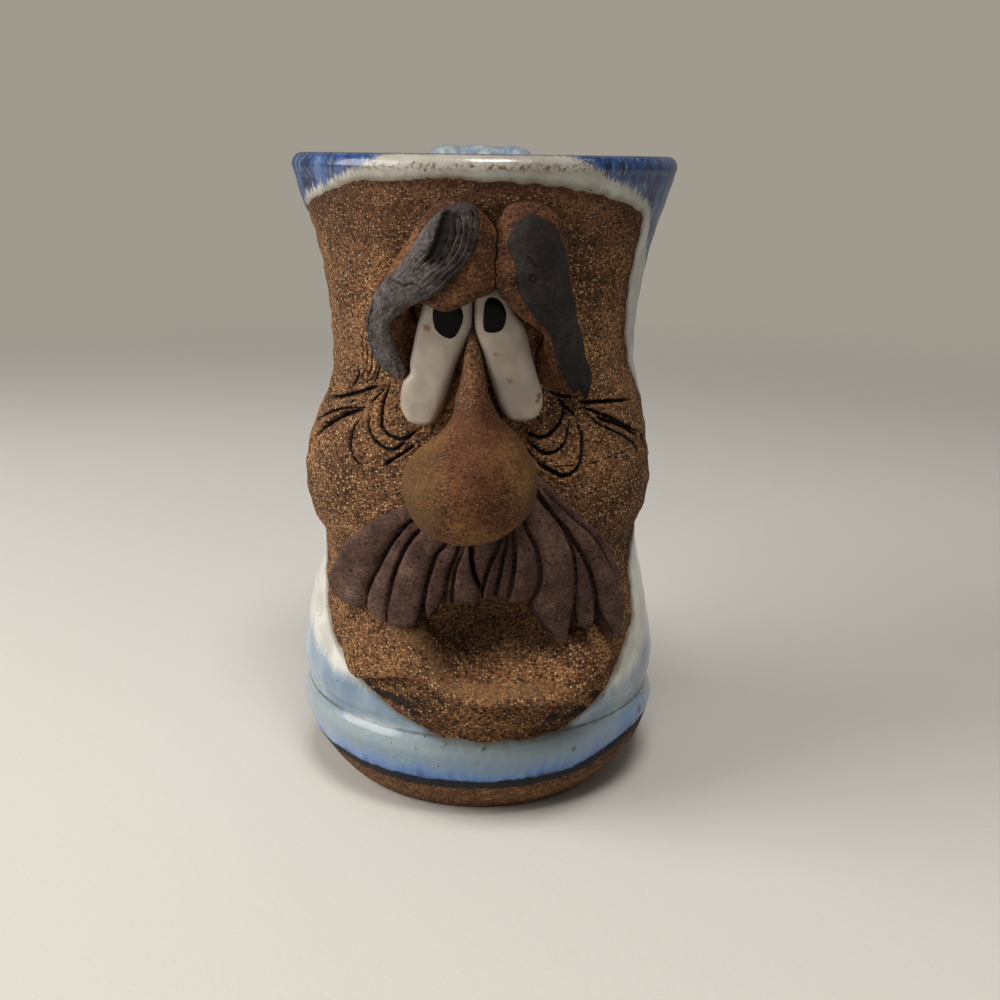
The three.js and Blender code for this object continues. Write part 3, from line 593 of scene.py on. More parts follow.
def pressHood(name, stations, section, inner):
    def sculpt(across, up, lift, t, side, rise, distance):
        # the two lids meet along a line that wanders
        seam = 0.16 * np.sin(up * 0.62 + 0.4) + 0.1 * np.sin(up * 1.9) + 0.05 * np.sin(up * 4.3)
        across = across + seam * np.exp(-(distance / 2.4) ** 2)
        flat = np.stack([across, up, lift], axis=-1)
        lift = lift + (lumps(flat, 2.6, 11) * 0.28 + lumps(flat, 1.1, 12) * 0.12 + lumps(flat, 0.6, 14) * 0.06) * (rise > 0.2)
        # the hanging edge waves a little
        hang = ease(0.6, 1.0, side * inner) * (rise > 0.4)
        up = up + hang * (lumps(flat * (1, 1, 0), 2.4, 13) * 0.4 + lumps(flat * (1, 1, 0), 0.9, 15) * 0.15)
        return across, up, lift
    return rolledClay(name, 170, 96, stations, section, ends=(0.4, 2.6), sculpt=sculpt, fall=0.0)


def hoodHeights(stations, section):
    # height of a hood's upper face at places across and up, carried on past its edges
    stations = np.array(stations, float)
    places, heights = [], []
    for at in np.linspace(0, len(stations) - 1, 170):
        leftX, leftY, rightX, rightY, high, closed = [
            through(list(enumerate(stations[:, n])), np.array([at]))[0] for n in range(6)]
        side, rise = section(np.linspace(0.05, hoodCrown, 48), closed)
        share = (1 + side) / 2
        places += list(zip(leftX + (rightX - leftX) * share, leftY + (rightY - leftY) * share))
        heights += list(high * rise)
    tree = KDTree(len(places))
    for number, (a, u) in enumerate(places):
        tree.insert((a, u, 0), number)
    tree.balance()

    def over(across, up):
        found = []
        for a, u in zip(across, up):
            near = tree.find_n((a, u, 0), 5)
            weights = [1 / (away + 0.05) for _, _, away in near]
            found.append(sum(w * heights[n] for w, (_, n, _) in zip(weights, near)) / sum(weights))
        return np.array(found)
    return over


hood = loopThrough([hoodSection, closedSection])
leftLid = pressHood("leftLid", leftHood, hood, 1)
rightLid = pressHood("rightLid", rightHood, mirrored(hood), -1)
print("lids laid over the eyes")

# Brows: slips of grey clay over the lids, each station its left edge, right edge and thickness
leftBrowShape = {
    "stations": [(-4.2, 99.0, -2.6, 99.3, 1.0), (-5.4, 98.1, -1.2, 99.0, 1.2), (-6.8, 96.7, -0.3, 97.3, 1.35), (-8.2, 95.1, 0.0, 95.3, 1.4),
                 (-9.5, 93.1, -0.3, 93.0, 1.4), (-10.6, 90.9, -1.1, 90.3, 1.35), (-11.9, 88.8, -2.6, 87.8, 1.3), (-13.7, 86.7, -4.6, 85.2, 1.2),
                 (-15.9, 84.9, -6.9, 82.9, 1.1), (-17.8, 82.5, -9.6, 81.5, 1.0), (-19.2, 79.8, -12.6, 79.6, 0.9), (-20.2, 76.9, -14.9, 77.2, 0.85),
                 (-20.9, 73.6, -15.0, 74.5, 0.8), (-21.1, 70.8, -14.5, 71.2, 0.75), (-20.0, 68.4, -13.8, 68.9, 0.7), (-17.8, 66.8, -14.2, 66.6, 0.6)],
    "comb": 0.84,  # distance between the comb's teeth
    "ridge": 0.3,
    "furrow": 0.26,
    "hollow": ([(-4.6, 98.3), (-5.2, 95.6), (-5.8, 92.9), (-6.7, 90.5), (-8.1, 88.2)], 0.55, 2.0, 1.1),  # line, spread to each side, depth
    "crack": [(-12.6, 85.3), (-11.2, 84.6), (-9.8, 85.1), (-8.4, 84.2)],
}
rightBrowShape = {
    "stations": [(7.2, 97.4, 8.3, 97.5, 0.5), (5.5, 96.0, 9.8, 96.3, 0.62), (4.5, 94.0, 11.9, 94.5, 0.66), (4.0, 92.2, 13.2, 92.2, 0.66),
                 (4.7, 90.2, 13.9, 89.7, 0.64), (5.3, 87.9, 14.6, 87.2, 0.62), (5.5, 85.5, 15.3, 84.6, 0.62), (6.3, 83.0, 16.4, 82.3, 0.6),
                 (7.7, 80.5, 17.4, 79.8, 0.58), (9.2, 78.5, 18.3, 77.4, 0.56), (11.1, 76.6, 19.2, 74.8, 0.54), (12.4, 74.0, 20.2, 72.2, 0.52),
                 (13.5, 71.4, 21.5, 69.4, 0.5), (14.9, 68.6, 23.2, 66.8, 0.48), (16.4, 66.2, 24.6, 64.6, 0.44), (18.2, 64.6, 23.6, 63.4, 0.4)],
    "cracks": [[(8.8, 91.5), (9.1, 90), (9.5, 88.3)], [(7.1, 89.9), (7.8, 89.1), (8.4, 88.2)],
               [(7.5, 86.5), (8.0, 86.7), (8.4, 86.1), (8.0, 85.5), (7.5, 85.9)], [(12.3, 80.3), (12.8, 79.5), (13.2, 78.8)],
               [(14.5, 76.2), (14.8, 75), (15, 73.7)]],
}


def combMarks(flat):
    # ridges left by a comb in arcs along the inner edge, a hollow drawn beside them, and long
    # scratches down the outer side and the tail
    shape = leftBrowShape
    stations = np.array(shape["stations"])
    innerEdge = smoothLine(stations[:10, 2:4], 70)
    outerEdge = smoothLine(stations[3:, 0:2], 70)
    fromInner, along = nearest(flat[:, :2], innerEdge)
    fromOuter, outerAlong = nearest(flat[:, :2], outerEdge)
    wobble = lumps(flat, 3.2, 21) * 0.3 + lumps(flat, 1.1, 25) * 0.1
    phase = (fromInner + wobble) / shape["comb"] % 1
    teeth = shape["ridge"] * np.exp(-((phase - 0.5) / 0.14) ** 2) - shape["furrow"] * np.exp(-((phase - 0.82) / 0.16) ** 2)
    combed = ease(0.0, 0.12, along) * ease(0.95, 0.75, along) * ease(6.6, 4.8, fromInner) * (0.75 + 0.4 * lumps(flat, 1.6, 27))
    scratch = np.abs(np.sin((fromOuter + lumps(flat, 4.5, 22) * 0.5) * math.pi / 0.62)) ** 1.5
    scratched = ease(0.1, 0.3, outerAlong) * ease(3.6, 1.4, fromOuter) * (0.5 + 0.7 * lumps(flat, 1.4, 28))
    line, steep, gentle, deep = shape["hollow"]
    line = smoothLine(line, 40)
    away, down = nearest(flat[:, :2], line)
    leftOf = flat[:, 0] < np.interp(flat[:, 1], line[::-1, 1], line[::-1, 0])
    hollow = deep * np.exp(-(away / np.where(leftOf, steep, gentle)) ** 2) * ease(0, 0.15, down) * ease(1, 0.75, down)
    hollow = hollow + 0.35 * np.exp(-(nearest(flat[:, :2], smoothLine(shape["crack"], 30))[0] / 0.17) ** 2)
    split = 0.5 * np.exp(-((fromOuter - 0.9 - 0.2 * lumps(flat, 2, 26)) / 0.14) ** 2) * ease(0.5, 0.56, outerAlong)
    rough = lumps(flat, 1.0, 23) * 0.16 + lumps(flat, 0.5, 24) * 0.14
    return teeth * combed + 0.24 * (scratch - 0.7) * scratched * (1 - 0.8 * combed) - hollow - split + rough


def combedBrow(across, up, lift, t, side, rise, distance):
    flat = np.stack([across, up, across * 0], axis=-1)
    return across, up, np.where(rise > 0.3, np.maximum(lift + combMarks(flat), 0.3 * rise), lift)


def smoothBrow(across, up, lift, t, side, rise, distance):
    flat = np.stack([across, up, across * 0], axis=-1)
    rough = lumps(flat, 3.4, 31) * 0.2 + lumps(flat, 1.2, 32) * 0.06
    drag = lumps(flat * (1, 0.25, 1), 0.8, 33) * 0.1 * ease(0.3, 0.7, t)
    for crack in rightBrowShape["cracks"]:
        rough = rough - 0.42 * np.exp(-(nearest(flat[:, :2], smoothLine(crack, 16))[0] / 0.2) ** 2)
    # torn strokes at the end of the tail
    torn = ease(72, 67, up) * ease(17, 20, across)
    strokes = np.abs(np.sin((across * 0.9 + up * 0.42 + lumps(flat, 2.5, 34)) * math.pi / 0.9))
    rough = rough + torn * 0.4 * (strokes - 0.6)
    up = up + torn * ease(66, 64.2, up) * lumps(flat * (1, 0, 0), 0.9, 35) * 1.2
    return across, up, lift + (rough + drag) * (rise > 0.3)


leftBrow = rolledClay("leftBrow", 260, 240, leftBrowShape["stations"], roundedSection(3.2, 0.4), ends=(1.6, 1.6),
                      sculpt=combedBrow, fall=0.5, over=hoodHeights(leftHood, hood))
rightBrow = rolledClay("rightBrow", 210, 120, rightBrowShape["stations"], roundedSection(3.2, 0.6), ends=(1.6, 1.6),
                       sculpt=smoothBrow, fall=0.5, over=hoodHeights(rightHood, mirrored(hood)))
browPlaces = getPoints(leftBrow)
browUp = browPlaces[:, 2] - panelFoot
browFlat = np.stack([np.arctan2(browPlaces[:, 0], -browPlaces[:, 1]) * wrapRadius + lean(browUp), browUp, browUp * 0], axis=-1)
# the comb's furrows, which the material darkens as painted shade
paint(leftBrow, "furrow", np.clip(-2.2 * combMarks(browFlat) - 0.1, 0, 1))
print("brows laid over the lids")

# Nose: a pear-shaped bulb drawn up into a thin bridge
noseShape = {
    "across": -1.4,
    # up, half width, how far the middle stands out, half depth, shift to the right
    "stations": [(38.6, 0.4, 8.8, 0.4, 0), (38.9, 3.4, 8.8, 3.5, 0), (39.7, 6.0, 8.8, 6.0, 0), (41.2, 8.4, 8.9, 8.0, 0), (43.4, 10.4, 9.1, 9.7, 0.1),
                 (46, 11.7, 9.2, 10.8, 0.2), (48.8, 12.3, 9.2, 11.2, 0.2), (52, 12.0, 8.6, 11.1, 0.3), (55.2, 9.9, 7.6, 10.3, 0.6), (57.6, 7.3, 6.2, 9.0, 1.2),
                 (60.5, 4.5, 4.6, 7.3, 1.0), (64.5, 3.1, 3.2, 5.8, 0.3), (67.6, 2.4, 2.3, 4.7, 0.3), (71, 1.8, 1.6, 3.5, 0.2), (75, 1.1, 1.1, 2.4, 0),
                 (77.4, 0.5, 0.8, 1.2, -0.2)],
    "flats": [((-0.82, -0.52, 0.24), 12.4), ((-0.30, -0.92, 0.26), 13.0), ((0.62, -0.72, 0.30), 12.9)],
}


def modelNose():
    shape = noseShape
    table = np.array(shape["stations"], float)
    rows, columns = 150, 128

    def place(along, around):
        t = along - np.sin(2 * math.pi * along) / (2 * math.pi) * 0.7
        up = table[0, 0] + (table[-1, 0] - table[0, 0]) * t
        half, out, deep, shift = [through([(row[0], row[n]) for row in table], up) for n in (1, 2, 3, 4)]
        turn = around * 2 * math.pi
        centre = onWall(shape["across"] + shift, up, out)
        points = centre + np.stack([half * np.sin(turn), -deep * np.cos(turn), np.zeros_like(up)], axis=-1)
        bulb = onWall(np.array([shape["across"]]), np.array([48.5]), np.array([9.2]))[0]
        for direction, limit in shape["flats"]:
            normal = np.array(direction) / np.linalg.norm(direction)
            over = (points - bulb) @ normal - limit * 0.93
            near = ease(62, 54, up)
            points = points - normal * (np.maximum(over, 0) * 0.75 * near)[:, None]
        return points

    piece = bentSheet("bulbNose", rows, columns, place)
    points, normals = getPoints(piece), getNormals(piece)
    rough = lumps(points, 5, 41) * 0.2 + lumps(points, 1.3, 42) * 0.06 + lumps(points, 0.6, 43) * 0.04
    setPoints(piece, points + normals * rough[:, None])
    return piece


nose = modelNose()
print("nose modelled")

# Moustache: strands of dark clay, side by side. Furrows between the strands run from under the
# nose to the strands' ends, each a line of places across and up.
furrows = {
    "a": [(-6.4, 46), (-12.8, 43.1), (-17.3, 40.6), (-21.9, 36.8), (-26.2, 32), (-29.4, 27.8), (-30.2, 24.3), (-28.4, 21.2)],
    "b": [(-6, 43), (-11.2, 40.8), (-13.5, 38.1), (-15.5, 34.6), (-17.3, 31), (-19.1, 27.2), (-19.8, 24.5), (-19.8, 20.6)],
    "c": [(-6.2, 42), (-9.8, 39.2), (-11.9, 36.3), (-13.4, 32.5), (-14.5, 29), (-15.1, 25.3), (-15.4, 22.4), (-15.4, 18.8)],
    "d": [(-4, 40.5), (-5.3, 36.9), (-6.9, 34.7), (-7.9, 31.2), (-8.6, 28), (-9, 25), (-9.3, 22.9), (-10.5, 19.5)],
    "d2": [(-4, 40.5), (-5.3, 36.9), (-6.9, 34.7), (-7.9, 31.2), (-8.6, 28), (-8.9, 25), (-8.7, 23), (-8.3, 21.8)],
    "e": [(-2.7, 40), (-3.3, 35.5), (-4.4, 32.4), (-5.1, 29), (-5.5, 26.8), (-6.1, 24.8), (-7.1, 23.1), (-7.9, 21.8)],
    "e2": [(-2.7, 40), (-3.3, 35.5), (-4.4, 32.4), (-5.1, 29), (-5.5, 26.8), (-5.8, 24.2)],
    "f": [(-2, 40), (-2.6, 35.3), (-3.6, 32.4), (-4.1, 28.9), (-4.3, 26.4), (-4.3, 24.4)],
    "g": [(-1, 40), (-1.1, 35.5), (-0.7, 32.1), (-0.2, 30.3), (0.5, 28.6), (0.7, 26.9), (0.5, 25.2)],
    "g2": [(-1, 40), (-1.1, 35.5), (-0.7, 32.1), (-0.2, 30.3), (0.5, 28.4)],
    "h": [(4.4, 40), (3.7, 36.9), (2.3, 33.5), (1.6, 31.3), (0.9, 28.2)],
    "h2": [(4.4, 40), (3.7, 36.9), (2.3, 33.5), (1.6, 31.3), (0.9, 28.4), (0.6, 25.4)],
    "i": [(5.2, 40.5), (5, 37.3), (4.4, 34.7), (3.8, 31.2), (3.3, 28.8), (3.2, 27), (3.3, 25.5)],
    "j": [(5.8, 41), (6, 38.8), (6.3, 35.9), (6.2, 32.9), (5.8, 29.8), (5.6, 27.3), (5.4, 25)],
    "k": [(7.8, 43), (8.2, 40), (9, 38.2), (9.8, 36), (10.3, 33.5), (10.6, 31.3), (10.4, 29.1), (10.1, 26.5), (9.5, 24.3)],
    "k2": [(7.8, 43), (8.2, 40), (9.8, 36), (10.6, 31.3), (10.3, 27.4), (9.7, 24.2), (11.1, 21.1), (12.8, 18.4), (14.2, 16.2)],
    "l": [(9.6, 47), (10.7, 45.3), (13.5, 41.5), (15.2, 38.9), (16.7, 34.2), (17.3, 29.8), (17.4, 25.6), (16.8, 21.6), (15.5, 16.4)],
    "l2": [(14.6, 40), (16.1, 36.6), (17, 33), (17.3, 29.8), (17.4, 25.6), (17.3, 22.2), (17.5, 18.4)],
    "m": [(14.8, 40.2), (16.5, 36.9), (18.6, 33.4), (20.3, 29.6), (21.2, 25.6), (21.3, 22.4), (20.4, 18.8)],
    "m2": [(9.8, 47.6), (12.1, 43.6), (15.3, 38.8), (17.9, 34.7), (20.3, 29.6), (21.2, 24.8), (21.8, 21.6), (23.2, 18.5), (24.6, 15.7)],
    "n": [(10.4, 48.4), (13.4, 44.7), (17.1, 40.7), (19.5, 38.3), (22, 35), (24.8, 30.7), (26.4, 26.6), (27, 22.6), (27, 19), (26.6, 15.7)],
    "o": [(10.8, 49.4), (13, 47.2), (17, 42.9), (22.4, 37.2), (26, 33.1), (28.3, 28.8), (29.1, 25.1), (29.2, 21.9), (29, 19.1), (28, 16.8)],
}
# Each strand's left and right furrow and how far it stands out at its proudest
leftStrands = [("a", "b", 6.3), ("b", "c", 5.7), ("c", "d", 6.4), ("d2", "e", 5.8), ("e2", "f", 5.1), ("f", "g", 5.8)]
rightStrands = [("g2", "h", 5.1), ("h2", "i", 5.7), ("i", "j", 5.4), ("j", "k", 6.0), ("k2", "l", 6.4), ("l2", "m", 5.5), ("m2", "n", 6.0),
                ("n", "o", 4.4)]
pressedFurrow = (0.21, 0.8)  # half width and depth of the line pressed between two strands
strandRise = [0.72, 0.82, 0.9, 0.96, 1.0, 1.0, 0.98, 0.94, 0.86]  # height from under the nose to the end
strandOverlap = 0.14


def strandStations(left, right, height):
    # places evenly spaced along both furrows of a strand
    edges = []
    for line in (furrows[left], furrows[right]):
        dense = smoothLine(line, 90)
        walked = np.concatenate([[0], np.cumsum(np.linalg.norm(np.diff(dense, axis=0), axis=1))])
        at = np.linspace(0, walked[-1], len(strandRise))
        edges.append(np.stack([np.interp(at, walked, dense[:, 0]), np.interp(at, walked, dense[:, 1])], axis=-1))
    apart = edges[1] - edges[0]
    apart = apart / np.maximum(np.linalg.norm(apart, axis=1), 0.3)[:, None] * strandOverlap
    return np.column_stack([edges[0] - apart, edges[1] + apart, height * np.array(strandRise)])


def rollMoustache(name, strands, seed):
    pieces = []
    for number, strand in enumerate(strands):
        stations = strandStations(*strand)
        wide = np.hypot(stations[-1][2] - stations[-1][0], stations[-1][3] - stations[-1][1])
        # strands that the mouth cuts off end blunt
        tip = 0.35 if stations[-1][1] > 24 else max(0.7, 0.4 * wide)

        def sculpt(across, up, lift, t, side, rise, distance, number=number):
            flat = np.stack([across, up, lift], axis=-1)
            return across, up, lift + lumps(flat, 3.4, seed + number) * 0.22 * (rise > 0)

        pieces.append(rolledClay(f"{name}{number}", 64, 52, stations, roundedSection(4.4, 1.2), ends=(0.5, tip),
                                 sculpt=sculpt, fall=0.45))
    bpy.ops.object.select_all(action="DESELECT")
    for piece in pieces:
        piece.select_set(True)
    bpy.context.view_layer.objects.active = pieces[0]
    bpy.ops.object.join()
    joined = bpy.context.object
    joined.name = joined.data.name = name
    # pressing the strands together leaves one skin with a furrow between each pair
    applyModifier(joined, "REMESH", mode="VOXEL", voxel_size=0.00022, use_smooth_shade=True)
    applyModifier(joined, "SMOOTH", factor=0.5, iterations=1)
    points, normals = getPoints(joined), getNormals(joined)
    up = points[:, 2] - panelFoot
    flat = np.stack([np.arctan2(points[:, 0], -points[:, 1]) * wrapRadius + lean(up), up], axis=-1)
    half, deep = pressedFurrow
    pressed = np.zeros(len(points))
    for line in sorted({key for strand in strands for key in strand[:2]} - {"a", "o"}):
        away, along = nearest(flat, smoothLine(furrows[line], 60))
        pressed = np.maximum(pressed, np.exp(-(away / half) ** 2) * ease(0, 0.04, along) * ease(1, 0.93, along))
    rough = lumps(points, 1.2, seed + 20) * 0.05 + lumps(points, 0.6, seed + 21) * 0.04 - deep * pressed
    setPoints(joined, points + normals * rough[:, None])
    # the furrows' mask, which the material darkens as painted shade
    paint(joined, "furrow", pressed * 0.4)
    return joined


moustacheLeft = rollMoustache("moustacheLeft", leftStrands, 50)
moustacheRight = rollMoustache("moustacheRight", rightStrands, 70)
print("moustache rolled:", len(moustacheLeft.data.polygons), len(moustacheRight.data.polygons), "faces")

# Lower lip: a flat chin on the left that folds into a ledge under the mouth
slabSection = [(-1, -0.3), (-0.9, 0.35), (-0.7, 0.62), (-0.35, 0.8), (0, 0.92), (0.4, 1.0), (0.75, 0.98), (0.93, 0.78),
               (1.0, 0.35), (0.98, -0.1), (0.8, -0.4), (0.3, -0.45), (-0.3, -0.45), (-0.8, -0.42)]
ledgeSection = [(-1, -0.25), (-0.86, 0.08), (-0.62, 0.2), (-0.28, 0.4), (0.06, 0.64), (0.38, 0.9), (0.62, 1.0), (0.84, 0.95),
                (0.98, 0.74), (1.0, 0.36), (0.94, -0.1), (0.5, -0.4), (-0.2, -0.45), (-0.75, -0.4)]
lipStations = [
    (-30.5, 16.5, -29.5, 12.5, 0.8, 0), (-26, 22, -24, 6.6, 1.9, 0), (-20.5, 24, -18.4, 7.5, 2.9, 0), (-15.2, 24, -13.4, 8.9, 3.6, 0.1),
    (-11.4, 21.8, -9.9, 9.3, 4.4, 0.35), (-8.4, 18.8, -7.0, 8.8, 5.6, 0.8), (-5.6, 16.2, -4.6, 7.3, 6.9, 1), (-2, 13.8, -1.4, 6.7, 7.8, 1),
    (3, 12.9, 3.0, 6.6, 8.2, 1), (8, 12.9, 8.0, 6.4, 8.2, 1), (12.6, 13.6, 13.0, 5.9, 7.6, 1), (16.2, 16, 16.8, 6.7, 6.3, 0.9),
    (19.6, 17.4, 20.6, 8.0, 4.9, 0.7), (23.6, 18.2, 24.6, 10.2, 3.2, 0.4), (28.5, 17, 28.5, 13, 0.8, 0)]
# Where a wet finger was drawn over the lip
foldLine = smoothLine([(-16.6, 19.0), (-13.2, 18.9), (-10.4, 18.2), (-8.2, 16.1), (-6.7, 13.4), (-5.5, 11.3), (-3.5, 10.1), (0.5, 9.4),
                       (5, 9.3), (10, 9.1), (14.5, 8.6)], 60)


def pressLip():
    def sculpt(across, up, lift, t, side, rise, distance):
        flat = np.stack([across, up], axis=-1)
        away, along = nearest(flat, foldLine)
        upper = rise > 0.1
        lift = lift + 0.8 * np.exp(-(away / 1.5) ** 2) * upper * ease(0, 0.2, along) * ease(0.62, 0.45, along)
        solid = np.stack([across, up, lift], axis=-1)
        lift = lift + (lumps(solid, 4, 90) * 0.3 + lumps(solid, 1.5, 91) * 0.1) * upper
        # the crease along the front of the ledge
        crease = np.exp(-((side - 0.83) / 0.07) ** 2) * ease(-6, 0, across) * ease(19, 12, across) * upper
        return across, up, lift - 0.4 * crease

    piece = rolledClay("lowerLip", 260, 90, lipStations, loopThrough([slabSection, ledgeSection]), ends=(5, 5), sculpt=sculpt, fall=0)
    points, normals = getPoints(piece), getNormals(piece)
    up = points[:, 2] - panelFoot
    flat = np.stack([np.arctan2(points[:, 0], -points[:, 1]) * wrapRadius + lean(up), up], axis=-1)
    away, along = nearest(flat, foldLine)
    sleek = np.exp(-(away / (0.9 + 1.3 * ease(0.35, 0.1, along))) ** 4) * ease(0, 0.1, along) * ease(1, 0.9, along)
    rough = (lumps(points, 1.1, 92) * 0.09 + lumps(points, 0.6, 93) * 0.07) * (1 - 0.6 * sleek)
    setPoints(piece, points + normals * rough[:, None])
    paint(piece, "sleek", sleek)
    # painted shade over the mouth's hollow, as on the wall
    paint(piece, "mouth", mouthShade(flat))
    return piece


lowerLip = pressLip()
print("lip pressed on")

# Handle: a pulled strap with three ribs, glazed all over
handleShape = {
    "shift": -1,
    "path": [(30, 116), (41, 127), (54, 126.6), (69, 97), (62, 66), (33, 37)],
    "width": (26, 21),
    "thickness": (9, 7.5),
    "furrow": (0.55, 1.5),  # depth at the top of the strap and lower down
    "bedded": 1.3,  # how deep the ends are pressed into the wall
}


def smoothPath(places, t):
    # centripetal curve through the handle's places, with its direction
    knots = np.array([(handleShape["shift"], out, up) for out, up in places], float)
    knots = np.vstack([2 * knots[0] - knots[1], knots, 2 * knots[-1] - knots[-2]])
    count = len(places) - 1
    at = np.clip(t * count, 0, count - 1e-9)
    k = at.astype(int)
    u = at - k
    p0, p1, p2, p3 = knots[k], knots[k + 1], knots[k + 2], knots[k + 3]
    d0 = np.linalg.norm(p1 - p0, axis=1) ** 0.5
    d1 = np.linalg.norm(p2 - p1, axis=1) ** 0.5
    d2 = np.linalg.norm(p3 - p2, axis=1) ** 0.5
    d0, d1, d2 = d0[:, None], d1[:, None], d2[:, None]
    m1 = ((p1 - p0) / d0 - (p2 - p0) / (d0 + d1) + (p2 - p1) / d1) * d1
    m2 = ((p2 - p1) / d1 - (p3 - p1) / (d1 + d2) + (p3 - p2) / d2) * d1
    u = u[:, None]
    a, b = 2 * p1 - 2 * p2 + m1 + m2, -3 * p1 + 3 * p2 - 2 * m1 - m2
    return a * u ** 3 + b * u ** 2 + m1 * u + p1, 3 * a * u ** 2 + 2 * b * u + m1


def pullHandle():
    shape = handleShape

    def place(along, around):
        centre, direction = smoothPath(shape["path"], along)
        direction /= np.linalg.norm(direction, axis=1)[:, None]
        outward = np.stack([np.zeros_like(along), -direction[:, 2], direction[:, 1]], axis=-1)
        half = (shape["width"][0] + (shape["width"][1] - shape["width"][0]) * along) / 2
        thick = (shape["thickness"][0] + (shape["thickness"][1] - shape["thickness"][0]) * along) / 2
        # thicker where the ends are thumbed on
        thick = thick * (1 + 0.16 * np.exp(-(along / 0.06) ** 2) + 0.25 * np.exp(-((1 - along) / 0.07) ** 2))
        half = half * (1 + 0.12 * np.exp(-((1 - along) / 0.07) ** 2))
        turn = around * 2 * math.pi
        c, s = np.cos(turn), np.sin(turn)
        side = np.sign(c) * np.abs(c) ** 0.6
        rise = np.sign(s) * np.abs(s) ** 0.4
        rib = (1 - np.cos(2 * math.pi * side / 0.68)) / 2
        shallow, steep = shape["furrow"]
        furrow = shallow + (steep - shallow) * ease(0.32, 0.6, along)
        inward = np.where(s > 0.05, rib * furrow * ease(0.05, 0.5, s) * ease(0.8, 0.62, np.abs(side)), 0)
        inward = inward + np.where(s < -0.2, 0.5 * np.cos(side * 1.5), 0)
        wave = 0.25 * np.sin(along * 17) + 0.2 * np.sin(along * 29 + side * 2)
        closed = (along < 1e-6) | (along > 1 - 1e-6)
        grow = np.where(closed, 0, 1)
        points = centre + np.stack([side * half * 0.99 * grow, 0 * along, 0 * along], axis=-1)
        return points + outward * (grow * (rise * thick - inward + np.where(s > 0, wave * 0.5 - 0.25, 0)))[:, None]

    piece = bentSheet("strapHandle", 190, 120, place)
    points, normals = getPoints(piece), getNormals(piece)
    rough = lumps(points, 6, 101) * 0.18 + lumps(points, 2, 102) * 0.05
    points = points + normals * (rough - 0.15)[:, None]
    # both ends stop inside the thickness of the wall
    reach = np.hypot(points[:, 0], points[:, 1])
    wall = through(thrownBody["outside"], np.clip(points[:, 2], 0, 128)) - shape["bedded"]
    points[:, :2] *= np.maximum(wall / np.maximum(reach, 1), 1)[:, None]
    setPoints(piece, points)
    return piece


strapHandle = pullHandle()
print("handle pulled")


def tone(code):
    # an sRGB hex colour as linear numbers
    parts = [int(code[i:i + 2], 16) / 255 for i in (1, 3, 5)]
    return [p / 12.92 if p <= 0.04045 else ((p + 0.055) / 1.055) ** 2.4 for p in parts] + [1]


def addNode(tree, kind, inputs=None, stops=None, **settings):
    # one node with its settings, its numbers or links, and a ramp's stops
    made = tree.nodes.new("ShaderNode" + kind)
    for key, value in settings.items():
        setattr(made, key, value)
    for socket, value in (inputs or {}).items():
        if isinstance(value, bpy.types.NodeSocket):
            tree.links.new(value, made.inputs[socket])
        else:
            made.inputs[socket].default_value = value
    if stops:
        while len(made.color_ramp.elements) < len(stops):
            made.color_ramp.elements.new(0.5)
        for element, (position, code) in zip(made.color_ramp.elements, stops):
            element.position = position
            element.color = tone(code) if isinstance(code, str) else (code, code, code, 1)
    return made


def newMaterial(name):
    material = bpy.data.materials.new(name)
    material.use_nodes = True
    tree = material.node_tree
    tree.nodes.clear()
    coords = addNode(tree, "TexCoord")
    scaled = addNode(tree, "VectorMath", {0: coords.outputs["Object"], 3: 1000.0}, operation="SCALE")
    return material, tree, scaled.outputs[0]  # place in millimetres


def mixColour(tree, share, first, second, blend="MIX"):
    made = addNode(tree, "Mix", data_type="RGBA", blend_type=blend)
    for socket, value in ((0, share), (6, first), (7, second)):
        if isinstance(value, bpy.types.NodeSocket):
            tree.links.new(value, made.inputs[socket])
        else:
            made.inputs[socket].default_value = tone(value) if isinstance(value, str) else value
    return made.outputs[2]


def maths(tree, operation, *values, clamp=False):
    return addNode(tree, "Math", dict(enumerate(values)), operation=operation, use_clamp=clamp).outputs[0]


def stepUp(tree, value, low, high):
    # 0 below low, 1 above high, smooth between
    made = addNode(tree, "MapRange", {"Value": value, "From Min": low, "From Max": high}, interpolation_type="SMOOTHSTEP")
    return made.outputs[0]


def finishMaterial(tree, colour, roughness, height, bumpSize, **fixed):
    bump = addNode(tree, "Bump", {"Height": height, "Strength": 1.0, "Distance": bumpSize / 1000})
    shader = addNode(tree, "BsdfPrincipled", {"Base Color": colour, "Roughness": roughness, "Normal": bump.outputs[0]})
    for key, value in fixed.items():
        socket = shader.inputs[key.replace("_", " ")]
        if isinstance(value, bpy.types.NodeSocket):
            tree.links.new(value, socket)
        else:
            socket.default_value = value
    output = addNode(tree, "OutputMaterial")
    tree.links.new(shader.outputs[0], output.inputs[0])


